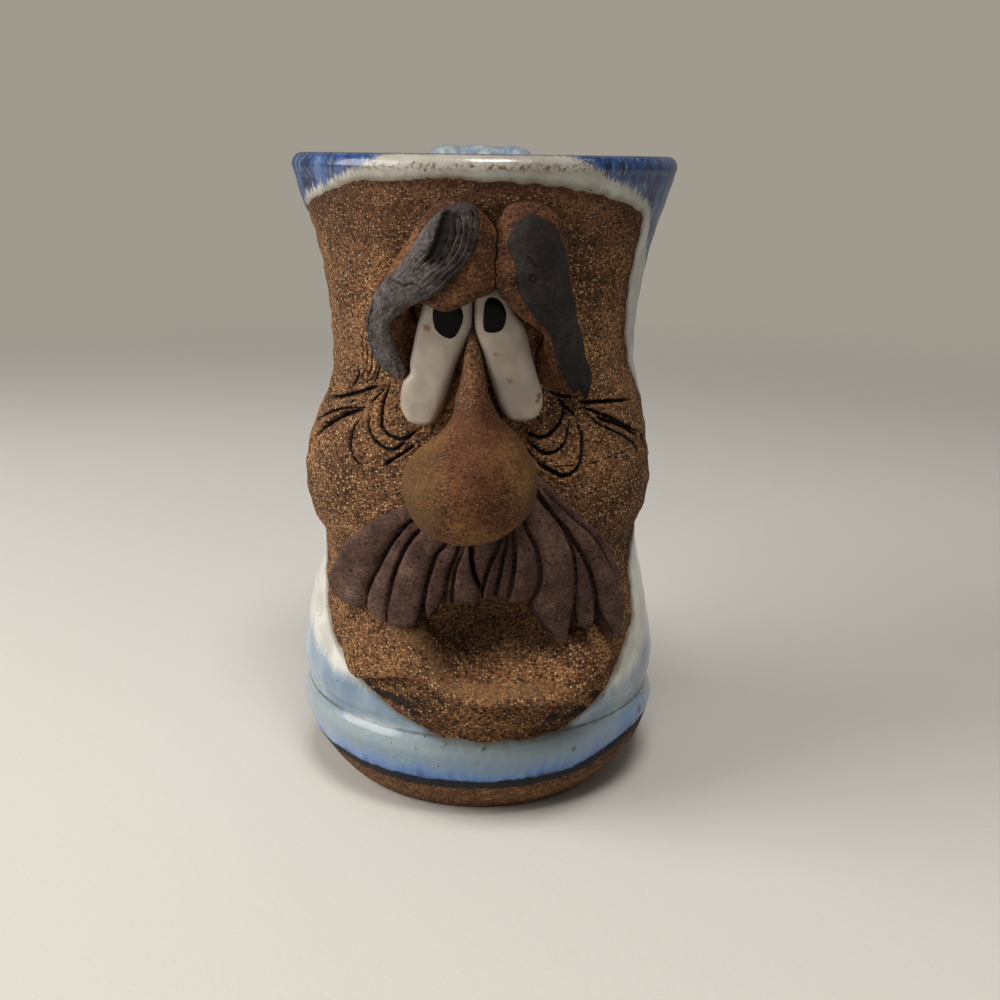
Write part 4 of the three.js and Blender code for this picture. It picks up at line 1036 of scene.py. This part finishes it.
def grogged(tree, place, clay):
    # Coarse clay: a mottled ground full of pale grains of about half a millimetre, with dark pits
    # where grains fell out. Gives its colour and its height.
    ground = addNode(tree, "TexNoise", {"Vector": place, "Scale": clay["patch"], "Detail": 3.0, "Roughness": 0.6})
    base = addNode(tree, "ValToRGB", {0: ground.outputs[0]}, stops=[(0.34, clay["dark"]), (0.5, clay["middle"]), (0.66, clay["light"])])
    pulled = addNode(tree, "Mapping", {"Vector": place, "Scale": (0.85, 0.85, 1.2)})
    fine = addNode(tree, "TexNoise", {"Vector": pulled.outputs[0], "Scale": clay["grain"] * 0.72, "Detail": 3.0, "Roughness": 0.75})
    mottle = addNode(tree, "ValToRGB", {0: fine.outputs[0]}, stops=[(0.38, 0.06), (0.5, 0.46), (0.62, 0.94)])
    colour = mixColour(tree, clay["mottle"], base.outputs[0], mottle.outputs[0], "OVERLAY")
    grains = addNode(tree, "TexVoronoi", {"Vector": pulled.outputs[0], "Scale": clay["grain"], "Randomness": 1.0})
    pick = addNode(tree, "SeparateColor", {0: grains.outputs["Color"]})
    body = stepUp(tree, grains.outputs["Distance"], 0.6, 0.32)
    pale = maths(tree, "MULTIPLY", stepUp(tree, pick.outputs[0], 1 - clay["paleShare"], 1.05 - clay["paleShare"]), body)
    tint = mixColour(tree, pick.outputs[2], clay["speck"], clay["grit"])
    colour = mixColour(tree, maths(tree, "MULTIPLY", pale, clay["paleStrength"]), colour, tint)
    pits = addNode(tree, "TexVoronoi", {"Vector": pulled.outputs[0], "Scale": clay["grain"] * 0.8, "Randomness": 1.0})
    pitPick = addNode(tree, "SeparateColor", {0: pits.outputs["Color"]})
    pit = maths(tree, "MULTIPLY", stepUp(tree, pitPick.outputs[1], 1 - clay["pitShare"], 1.06 - clay["pitShare"]),
                stepUp(tree, pits.outputs["Distance"], 0.55, 0.25))
    colour = mixColour(tree, maths(tree, "MULTIPLY", pit, 0.85), colour, clay["pit"])
    height = maths(tree, "ADD", maths(tree, "MULTIPLY", fine.outputs[0], 0.7),
                   maths(tree, "SUBTRACT", maths(tree, "MULTIPLY", pale, 0.5), maths(tree, "MULTIPLY", pit, 0.7)))
    return colour, height


# Unglazed stoneware with fired sand in it: dry, matt and gritty
panelClay = {"patch": 0.09, "dark": "#4a301b", "middle": "#634329", "light": "#7d5635", "mottle": 0.9, "grain": 1.95,
             "speck": "#cba67a", "grit": "#86633f", "paleShare": 0.44, "paleStrength": 0.85, "pit": "#1f130a", "pitShare": 0.2}


def bodyMaterial():
    # Glazed stoneware, dipped: cream tin-white glaze with brushed cobalt at the rim and foot.
    # The glaze shines like glass and runs downwards; the panel of the face is left bare and dry.
    material, tree, place = newMaterial("dippedStoneware")
    colour, height = grogged(tree, place, panelClay)
    names = ("bareEdge", "cut", "rimCobalt", "footCobalt", "footEdge", "smudge", "spot", "mouth", "inner")
    edge, cut, rim, foot, footEdge, smudge, spot, mouth, inner = [
        addNode(tree, "Attribute", attribute_name=name).outputs["Fac"] for name in names]
    split = addNode(tree, "SeparateXYZ", {0: place})
    coarse = addNode(tree, "TexNoise", {"Vector": place, "Scale": 0.45, "Detail": 4.0, "Roughness": 0.6})
    patch = addNode(tree, "TexNoise", {"Vector": place, "Scale": 0.12, "Detail": 2.0})

    # clay: redder and darker where the glaze fumed it, iron smudges, painted shade in the cuts and the mouth, painted
    # light on the foot
    fumed = maths(tree, "MULTIPLY", stepUp(tree, edge, 3.0, 0.2), stepUp(tree, coarse.outputs[0], 0.3, 0.6))
    colour = mixColour(tree, maths(tree, "MULTIPLY", fumed, 0.7), colour, "#3f2214")
    forehead = stepUp(tree, split.outputs[2], 106, 124)
    colour = mixColour(tree, maths(tree, "MULTIPLY", forehead, 0.4), colour, "#452a1a")
    iron = stepUp(tree, maths(tree, "ADD", smudge, maths(tree, "MULTIPLY", maths(tree, "SUBTRACT", coarse.outputs[0], 0.5), 1.6)), 0.2, 0.55)
    colour = mixColour(tree, maths(tree, "MULTIPLY", iron, 0.88), colour, "#191514")
    # painted shade in the cut lines
    colour = mixColour(tree, stepUp(tree, cut, 0.1, 0.6), colour, "#120a06")
    # painted shade in the mouth's hollow
    colour = mixColour(tree, maths(tree, "MULTIPLY", mouth, 0.5), colour, "#170e07")
    # painted light: the foot's clay is lightened, as if lit from the front
    colour = mixColour(tree, maths(tree, "MULTIPLY", stepUp(tree, split.outputs[2], 10, 6), 0.8), colour, "#3a2818", "ADD")

    # cream glaze, cobalt brushed on at the rim, in streaks that run down
    runs = addNode(tree, "Mapping", {"Vector": place, "Scale": (1.0, 1.0, 0.14)})
    streak = addNode(tree, "TexNoise", {"Vector": runs.outputs[0], "Scale": 1.3, "Detail": 5.0, "Roughness": 0.65})
    feather = maths(tree, "MULTIPLY", maths(tree, "SUBTRACT", streak.outputs[0], 0.5), 6.0)
    cream = mixColour(tree, stepUp(tree, patch.outputs[0], 0.35, 0.65), "#aeaba2", "#cbc9c1")
    # cream darker towards the rim: partly iron speckling, partly painted shade
    cream = mixColour(tree, maths(tree, "MULTIPLY", stepUp(tree, split.outputs[2], 120, 129), 0.55), cream, "#857b6b")
    rimShare = stepUp(tree, maths(tree, "ADD", rim, feather), -0.3, 1.0)
    pool = addNode(tree, "TexNoise", {"Vector": runs.outputs[0], "Scale": 0.28, "Detail": 4.0, "Roughness": 0.6})
    deep = addNode(tree, "ValToRGB", {0: pool.outputs[0]}, stops=[(0.3, "#0b1a38"), (0.48, "#162e5b"), (0.6, "#294a80"), (0.74, "#667f9f")])
    fine = mixColour(tree, stepUp(tree, streak.outputs[0], 0.5, 0.72), deep.outputs[0], "#6c829f")
    glaze = mixColour(tree, rimShare, cream, fine)
    # thinner blue wash over the lower wall
    footShare = stepUp(tree, maths(tree, "ADD", foot, feather), -1.5, 2.5)
    wash = addNode(tree, "ValToRGB", {0: patch.outputs[0]}, stops=[(0.35, "#64798f"), (0.5, "#758a9c"), (0.66, "#8f9ea8")])
    glaze = mixColour(tree, footShare, glaze, wash.outputs[0])
    # the bead: pale above, cobalt pooled above the glaze's lower end
    pooled = maths(tree, "ADD", footEdge, maths(tree, "MULTIPLY", maths(tree, "SUBTRACT", pool.outputs[0], 0.5), 7.0))
    beadBlue = addNode(tree, "ValToRGB", {0: maths(tree, "DIVIDE", pooled, 10.0)},
                       stops=[(0.2, "#2b4b83"), (0.33, "#4c74ae"), (0.46, "#6684aa"), (0.66, "#768b9d"), (0.95, "#828f94")])
    bead = maths(tree, "MULTIPLY", stepUp(tree, split.outputs[2], 19.8, 18.6), stepUp(tree, edge, 0.4, -0.4))
    glaze = mixColour(tree, bead, glaze, beadBlue.outputs[0])
    # olive break in the turned groove, brown break on the rim, iron specks
    grooveLine = stepUp(tree, maths(tree, "ABSOLUTE", maths(tree, "SUBTRACT", split.outputs[2], 19.8)), 0.36, 0.06)
    thin = stepUp(tree, coarse.outputs[0], 0.1, 0.6)
    glaze = mixColour(tree, maths(tree, "MULTIPLY", grooveLine, thin), glaze, "#5c5b46")
    rimBreak = stepUp(tree, maths(tree, "ABSOLUTE", maths(tree, "SUBTRACT", split.outputs[2], 127.9)), 1.1, 0.1)
    dots = addNode(tree, "TexNoise", {"Vector": place, "Scale": 1.1, "Detail": 4.0, "Roughness": 0.7})
    worn = maths(tree, "MULTIPLY", rimBreak, stepUp(tree, dots.outputs[0], 0.46, 0.6))
    worn = maths(tree, "MULTIPLY", worn, maths(tree, "SUBTRACT", 1.0, maths(tree, "MULTIPLY", rimShare, 0.8)))
    glaze = mixColour(tree, maths(tree, "MULTIPLY", worn, 0.85), glaze, "#4d3d2a")
    lipLine = maths(tree, "MULTIPLY", stepUp(tree, split.outputs[2], 129.7, 129.95), stepUp(tree, dots.outputs[0], 0.4, 0.55))
    glaze = mixColour(tree, maths(tree, "MULTIPLY", lipLine, 0.6), glaze, "#5a452d")
    specks = addNode(tree, "TexVoronoi", {"Vector": place, "Scale": 0.42})
    speckPick = addNode(tree, "SeparateColor", {0: specks.outputs["Color"]})
    speck = maths(tree, "MULTIPLY", stepUp(tree, speckPick.outputs[0], 0.55, 0.62), stepUp(tree, specks.outputs["Distance"], 0.12, 0.05))
    glaze = mixColour(tree, maths(tree, "MAXIMUM", speck, spot), glaze, "#2b241e")
    halo = maths(tree, "MULTIPLY", stepUp(tree, maths(tree, "ADD", edge, maths(tree, "MULTIPLY", coarse.outputs[0], -1.2)), -2.2, -0.5), 0.75)
    glaze = mixColour(tree, halo, glaze, "#5b5038")
    # glaze ends in a black line over the bare foot
    ragged = maths(tree, "ADD", footEdge, maths(tree, "MULTIPLY", maths(tree, "SUBTRACT", coarse.outputs[0], 0.5), 1.6))
    black = stepUp(tree, ragged, 2.9, 2.2)
    glaze = mixColour(tree, maths(tree, "MULTIPLY", black, 0.97), glaze, "#0b0b0d")

    glazed = stepUp(tree, edge, 0.18, -0.12)
    glazed = maths(tree, "MULTIPLY", glazed, stepUp(tree, ragged, -0.2, 0.3))
    glazed = maths(tree, "MAXIMUM", glazed, inner)
    colour = mixColour(tree, glazed, colour, glaze)
    rough = addNode(tree, "MapRange", {"Value": glazed, "To Min": 0.9, "To Max": 0.3}).outputs[0]
    rough = maths(tree, "ADD", rough, maths(tree, "MULTIPLY", maths(tree, "MULTIPLY", black, glazed), 0.4))
    ripple = addNode(tree, "TexNoise", {"Vector": place, "Scale": 0.5, "Detail": 3.5})
    dry = maths(tree, "MULTIPLY", height, maths(tree, "SUBTRACT", 1.0, glazed))
    relief = maths(tree, "ADD", dry, maths(tree, "MULTIPLY", maths(tree, "MULTIPLY", ripple.outputs[0], 0.6), glazed))
    gloss = maths(tree, "MULTIPLY", glazed, maths(tree, "SUBTRACT", 0.6, maths(tree, "MULTIPLY", black, 0.6)))
    finishMaterial(tree, colour, rough, relief, 0.42, IOR=1.5, Specular_IOR_Level=0.25, Coat_Weight=gloss, Coat_Roughness=0.13)
    return material


def clayMaterial(name, clay, roughness, bumpSize, shade=None):
    material, tree, place = newMaterial(name)
    colour, height = grogged(tree, place, clay)
    if shade:
        colour = shade(tree, place, colour)
    finishMaterial(tree, colour, roughness, height, bumpSize, IOR=1.5, Specular_IOR_Level=0.2)
    return material


# Same body, smoothed with a wet finger, so the sand lies under a fine skin
noseClay = {"patch": 0.11, "dark": "#412613", "middle": "#58361d", "light": "#6f4b29", "mottle": 0.6, "grain": 2.2,
            "speck": "#98754c", "grit": "#6d4c2c", "paleShare": 0.3, "paleStrength": 0.55, "pit": "#28160b", "pitShare": 0.16}
lipClay = {"patch": 0.12, "dark": "#4a301b", "middle": "#614128", "light": "#785231", "mottle": 0.9, "grain": 1.95,
           "speck": "#c7a276", "grit": "#826039", "paleShare": 0.44, "paleStrength": 0.85, "pit": "#22150c", "pitShare": 0.19}
# Iron-rich stoneware, smoothed: warm red-brown and matt
ironClay = {"patch": 0.16, "dark": "#371f11", "middle": "#4d2f1d", "light": "#68452b", "mottle": 0.65, "grain": 2.0,
            "speck": "#8b653f", "grit": "#664529", "paleShare": 0.26, "paleStrength": 0.55, "pit": "#1e0f07", "pitShare": 0.14}
# Grey slip clay, combed and dry
greyClay = {"patch": 0.35, "dark": "#433c3a", "middle": "#504947", "light": "#625b5b", "mottle": 0.4, "grain": 2.4,
            "speck": "#7d7573", "grit": "#5d5450", "paleShare": 0.12, "paleStrength": 0.4, "pit": "#1f1a18", "pitShare": 0.08}
slateClay = {"patch": 0.16, "dark": "#1e1916", "middle": "#27211e", "light": "#332d29", "mottle": 0.35, "grain": 2.2,
             "speck": "#4b4440", "grit": "#382f2a", "paleShare": 0.05, "paleStrength": 0.5, "pit": "#0e0b0a", "pitShare": 0.06}
# Manganese clay, rolled smooth: dull purple-brown
darkClay = {"patch": 0.16, "dark": "#37261e", "middle": "#49342b", "light": "#5c453b", "mottle": 0.45, "grain": 2.2,
            "speck": "#735b4d", "grit": "#553e34", "paleShare": 0.14, "paleStrength": 0.45, "pit": "#1b110f", "pitShare": 0.12}


def noseShade(tree, place, colour):
    # red-brown down the middle, olive on the flanks, and the wall's own sand high up between the eyes, darkened there
    # as painted shade
    split = addNode(tree, "SeparateXYZ", {0: place})
    aside = maths(tree, "ABSOLUTE", maths(tree, "ADD", split.outputs[0], 0.6))
    middle = maths(tree, "MULTIPLY", stepUp(tree, aside, 7.0, 2.5), stepUp(tree, split.outputs[2], 66, 78))
    colour = mixColour(tree, maths(tree, "MULTIPLY", stepUp(tree, aside, 4.0, 10.0), 0.4), colour, "#604a26")
    colour = mixColour(tree, maths(tree, "MULTIPLY", middle, 0.5), colour, "#45220f")
    shadedSand, relief = grogged(tree, place, panelClay)
    # painted shade: the sand between the eyes is darkened by half
    shadedSand = mixColour(tree, 0.5, shadedSand, "#2b190c")
    return mixColour(tree, stepUp(tree, split.outputs[2], 82, 94), colour, shadedSand)


def furrowShade(tree, place, colour):
    # painted shade in the furrows pressed between strands
    return mixColour(tree, addNode(tree, "Attribute", attribute_name="furrow").outputs["Fac"], colour, "#130c09")


def combedShade(tree, place, colour):
    # darker towards the right of the brow and dark in the comb's furrows, both painted shade
    split = addNode(tree, "SeparateXYZ", {0: place})
    colour = mixColour(tree, maths(tree, "MULTIPLY", stepUp(tree, split.outputs[0], -13, -6), 0.55), colour, "#241c17")
    return furrowShade(tree, place, colour)


def sleekShade(tree, place, colour):
    # paler where the wet finger drew fine clay over the sand
    sleek = addNode(tree, "Attribute", attribute_name="sleek").outputs["Fac"]
    drawn = addNode(tree, "TexNoise", {"Vector": place, "Scale": 0.8, "Detail": 3.0})
    skin = addNode(tree, "ValToRGB", {0: drawn.outputs[0]}, stops=[(0.35, "#614429"), (0.65, "#8a6743")]).outputs[0]
    colour = mixColour(tree, maths(tree, "MULTIPLY", sleek, 0.5), colour, skin)
    # painted shade in the mouth's hollow
    mouth = addNode(tree, "Attribute", attribute_name="mouth").outputs["Fac"]
    return mixColour(tree, maths(tree, "MULTIPLY", mouth, 0.5), colour, "#170e07")


def whiteClayMaterial():
    # White earthenware slip, burnished: dense, satin, with a few rust stains
    material, tree, place = newMaterial("burnishedWhiteClay")
    tint = addNode(tree, "TexNoise", {"Vector": place, "Scale": 0.25, "Detail": 3.0})
    colour = addNode(tree, "ValToRGB", {0: tint.outputs[0]}, stops=[(0.35, "#867a6d"), (0.65, "#988b7d")]).outputs[0]
    dots = addNode(tree, "TexVoronoi", {"Vector": place, "Scale": 0.55})
    pick = addNode(tree, "SeparateColor", {0: dots.outputs["Color"]})
    dot = maths(tree, "MULTIPLY", stepUp(tree, pick.outputs[0], 0.78, 0.84), stepUp(tree, dots.outputs["Distance"], 0.14, 0.05))
    colour = mixColour(tree, maths(tree, "MULTIPLY", dot, 0.5), colour, "#8b7a68")
    stain = addNode(tree, "Attribute", attribute_name="stain").outputs["Fac"]
    colour = mixColour(tree, stepUp(tree, stain, 0.1, 0.9), colour, "#6b3d1c")
    wave = addNode(tree, "TexNoise", {"Vector": place, "Scale": 0.5, "Detail": 4.0})
    finishMaterial(tree, colour, 0.42, wave.outputs[0], 0.12, IOR=1.5, Coat_Weight=0.25, Coat_Roughness=0.25)
    return material


def blackGlazeMaterial():
    # Black gloss glaze, dripped on thick: a deep glassy black with a faint brown break
    material, tree, place = newMaterial("blackGlossGlaze")
    tint = addNode(tree, "TexNoise", {"Vector": place, "Scale": 0.6, "Detail": 2.0})
    colour = addNode(tree, "ValToRGB", {0: tint.outputs[0]}, stops=[(0.4, "#020202"), (0.7, "#070504")]).outputs[0]
    finishMaterial(tree, colour, 0.14, tint.outputs[0], 0.08, IOR=1.28, Specular_IOR_Level=0.2)
    return material


def handleMaterial():
    # The same blue glaze over the strap: blue-grey gloss, cream where thick, brown where it breaks on the ribs
    material, tree, place = newMaterial("dippedStrapGlaze")
    runs = addNode(tree, "Mapping", {"Vector": place, "Scale": (1.0, 0.35, 0.25)})
    streak = addNode(tree, "TexNoise", {"Vector": runs.outputs[0], "Scale": 0.5, "Detail": 5.0, "Roughness": 0.6})
    colour = addNode(tree, "ValToRGB", {0: streak.outputs[0]},
                     stops=[(0.27, "#47699c"), (0.42, "#7d95b0"), (0.56, "#9dabb3"), (0.72, "#bdbbae")]).outputs[0]
    crest = addNode(tree, "Attribute", attribute_name="crest").outputs["Fac"]
    broken = maths(tree, "MULTIPLY", stepUp(tree, crest, 0.5, 0.95), stepUp(tree, streak.outputs[0], 0.62, 0.42))
    colour = mixColour(tree, broken, colour, "#5a4c32")
    specks = addNode(tree, "TexVoronoi", {"Vector": place, "Scale": 0.4})
    pick = addNode(tree, "SeparateColor", {0: specks.outputs["Color"]})
    speck = maths(tree, "MULTIPLY", stepUp(tree, pick.outputs[0], 0.7, 0.76), stepUp(tree, specks.outputs["Distance"], 0.1, 0.05))
    colour = mixColour(tree, speck, colour, "#3a3128")
    ripple = addNode(tree, "TexNoise", {"Vector": place, "Scale": 0.3, "Detail": 2.0})
    finishMaterial(tree, colour, 0.17, ripple.outputs[0], 0.25, IOR=1.5, Coat_Weight=0.6, Coat_Roughness=0.05)
    return material


def stainEyes():
    # rust stains: middle across and up, size, for each eye
    spots = {leftEye: [(-9.4, 76.7, 0.75), (-8.9, 76.5, 0.5), (-8.0, 70.2, 0.14), (-6.2, 66.5, 0.12)],
             rightEye: [(2.8, 72.2, 0.4), (5.2, 69.9, 0.42), (5.2, 68.7, 0.36), (5.3, 67.3, 0.42), (2.0, 69.0, 0.24), (3.6, 69.2, 0.24),
                        (7.4, 69.6, 0.18), (10.9, 64.4, 0.5), (10.5, 63.4, 0.4)]}
    for piece, places in spots.items():
        points = getPoints(piece)
        angle = np.arctan2(points[:, 0], -points[:, 1])
        up = points[:, 2] - panelFoot
        flat = np.stack([angle * wrapRadius + lean(up), up], axis=-1)
        stain = np.zeros(len(points))
        for across, up, size in places:
            away = np.linalg.norm(flat - (across, up), axis=1) + lumps(points, 0.6, 110) * size * 0.4
            stain = np.maximum(stain, np.exp(-(away / size) ** 2))
        paint(piece, "stain", stain)


stainEyes()
crestNormals = getNormals(strapHandle)
paint(strapHandle, "crest", np.clip(crestNormals[:, 2] * 0.5 + 0.5 * np.abs(crestNormals[:, 1]), 0, 1))

finishes = {
    mugBody: bodyMaterial(),
    strapHandle: handleMaterial(),
    nose: clayMaterial("fingeredStoneware", noseClay, 0.78, 0.2, noseShade),
    leftEye: whiteClayMaterial(),
    leftPupil: blackGlazeMaterial(),
    leftLid: clayMaterial("smoothedIronClay", ironClay, 0.8, 0.22),
    leftBrow: clayMaterial("combedGreyClay", greyClay, 0.88, 0.16, combedShade),
    rightBrow: clayMaterial("slateGreyClay", slateClay, 0.8, 0.16),
    moustacheLeft: clayMaterial("rolledManganeseClay", darkClay, 0.82, 0.18, furrowShade),
    lowerLip: clayMaterial("groggedStoneware", lipClay, 0.88, 0.34, sleekShade),
}
shared = {rightEye: leftEye, rightPupil: leftPupil, rightLid: leftLid, moustacheRight: moustacheLeft}
for piece, source in shared.items():
    finishes[piece] = finishes[source]

standsFor = {
    mugBody: ("mug_body", "glazed_stoneware"), strapHandle: ("handle", "glazed_stoneware"), nose: ("nose", "bare_stoneware"),
    leftEye: ("left_eye", "white_clay"), rightEye: ("right_eye", "white_clay"),
    leftPupil: ("left_pupil", "black_glaze"), rightPupil: ("right_pupil", "black_glaze"),
    leftLid: ("left_eyelid", "iron_clay"), rightLid: ("right_eyelid", "iron_clay"),
    leftBrow: ("left_eyebrow", "grey_clay"), rightBrow: ("right_eyebrow", "grey_clay"),
    moustacheLeft: ("moustache_left", "dark_clay"), moustacheRight: ("moustache_right", "dark_clay"),
    lowerLip: ("lower_lip", "bare_stoneware"),
}
for piece, (node, slot) in standsFor.items():
    piece.data.materials.clear()
    piece.data.materials.append(finishes[piece])
    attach(piece, "root")
    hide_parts(node)
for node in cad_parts.values():
    node.select_set(False)
print("finishes painted")

# Studio: pale floor, pale surroundings, a large soft window light from the left
studio = {
    "floor": "#cbc8c1",
    "floorRadius": 0.9,
    "floorFade": (0.28, 0.8),  # where the floor starts and ends its fade into the surroundings
    "surround": "#a09a8f",
    "camera": (0, -0.2586, 0.1304),
    "pitch": 15.66,
    "roll": 0.75,
    "shift": 0.0197,
    "lens": 44.68,
    # name, place, size, power and colour of each lamp
    "lamps": [("windowLeft", (-0.68, -0.2, 0.4), 0.6, 7.4, "#fffcf8"), ("ceiling", (0.04, -0.34, 0.82), 0.26, 4.4, "#fffcf8")],
    "ambient": 0.2,
}


def layFloor():
    bpy.ops.object.select_all(action="DESELECT")
    bpy.ops.mesh.primitive_circle_add(vertices=128, radius=studio["floorRadius"], fill_type="NGON", location=(0, 0, 0))
    floor = bpy.context.object
    floor.name = "floor"
    material, tree, place = newMaterial("palePaperSweep")
    grain = addNode(tree, "TexNoise", {"Vector": place, "Scale": 0.6, "Detail": 3.0})
    colour = mixColour(tree, maths(tree, "MULTIPLY", grain.outputs[0], 0.12), studio["floor"], "#c5c0b6")
    finishMaterial(tree, colour, 0.9, grain.outputs[0], 0.05)
    # far away the floor fades into the surroundings
    shader, output = tree.nodes["Principled BSDF"], tree.nodes["Material Output"]
    flat = addNode(tree, "VectorMath", {0: place}, operation="LENGTH").outputs["Value"]
    near, far = studio["floorFade"]
    faded = addNode(tree, "MixShader", {0: stepUp(tree, flat, near * 1000, far * 1000), 1: shader.outputs[0],
                                        2: addNode(tree, "BsdfTransparent").outputs[0]})
    tree.links.new(faded.outputs[0], output.inputs[0])
    floor.data.materials.append(material)


def lightScene():
    for name, place, size, power, colour in studio["lamps"]:
        bpy.ops.object.light_add(type="AREA", location=place)
        lamp = bpy.context.object
        lamp.name = name
        lamp.data.size = size
        lamp.data.energy = power
        lamp.data.color = tone(colour)[:3]
        lamp.rotation_euler = (Vector((0, 0, 0.06)) - Vector(place)).to_track_quat("-Z", "Y").to_euler()
    world = bpy.data.worlds.new("paleRoom")
    bpy.context.scene.world = world
    world.use_nodes = True
    tree = world.node_tree
    tree.nodes.clear()
    path = addNode(tree, "LightPath")
    ambient = addNode(tree, "Background", {"Color": tone("#eeece8"), "Strength": studio["ambient"]})
    shown = addNode(tree, "Background", {"Color": tone(studio["surround"]), "Strength": 1.0})
    mixed = addNode(tree, "MixShader", {0: path.outputs["Is Camera Ray"], 1: ambient.outputs[0], 2: shown.outputs[0]})
    output = addNode(tree, "OutputWorld")
    tree.links.new(mixed.outputs[0], output.inputs[0])


def placeCamera():
    bpy.ops.object.camera_add(location=studio["camera"])
    camera = bpy.context.object
    camera.name = "photoCamera"
    camera.data.sensor_width = 36
    camera.data.lens = studio["lens"]
    camera.data.shift_x = studio["shift"]
    camera.data.clip_start = 0.01
    look = Matrix.Rotation(math.radians(90 - studio["pitch"]), 3, "X") @ Matrix.Rotation(math.radians(studio["roll"]), 3, "Z")
    camera.rotation_euler = look.to_euler()
    bpy.context.scene.camera = camera


layFloor()
lightScene()
placeCamera()
bpy.context.scene.view_settings.view_transform = "Standard"
print("studio set")
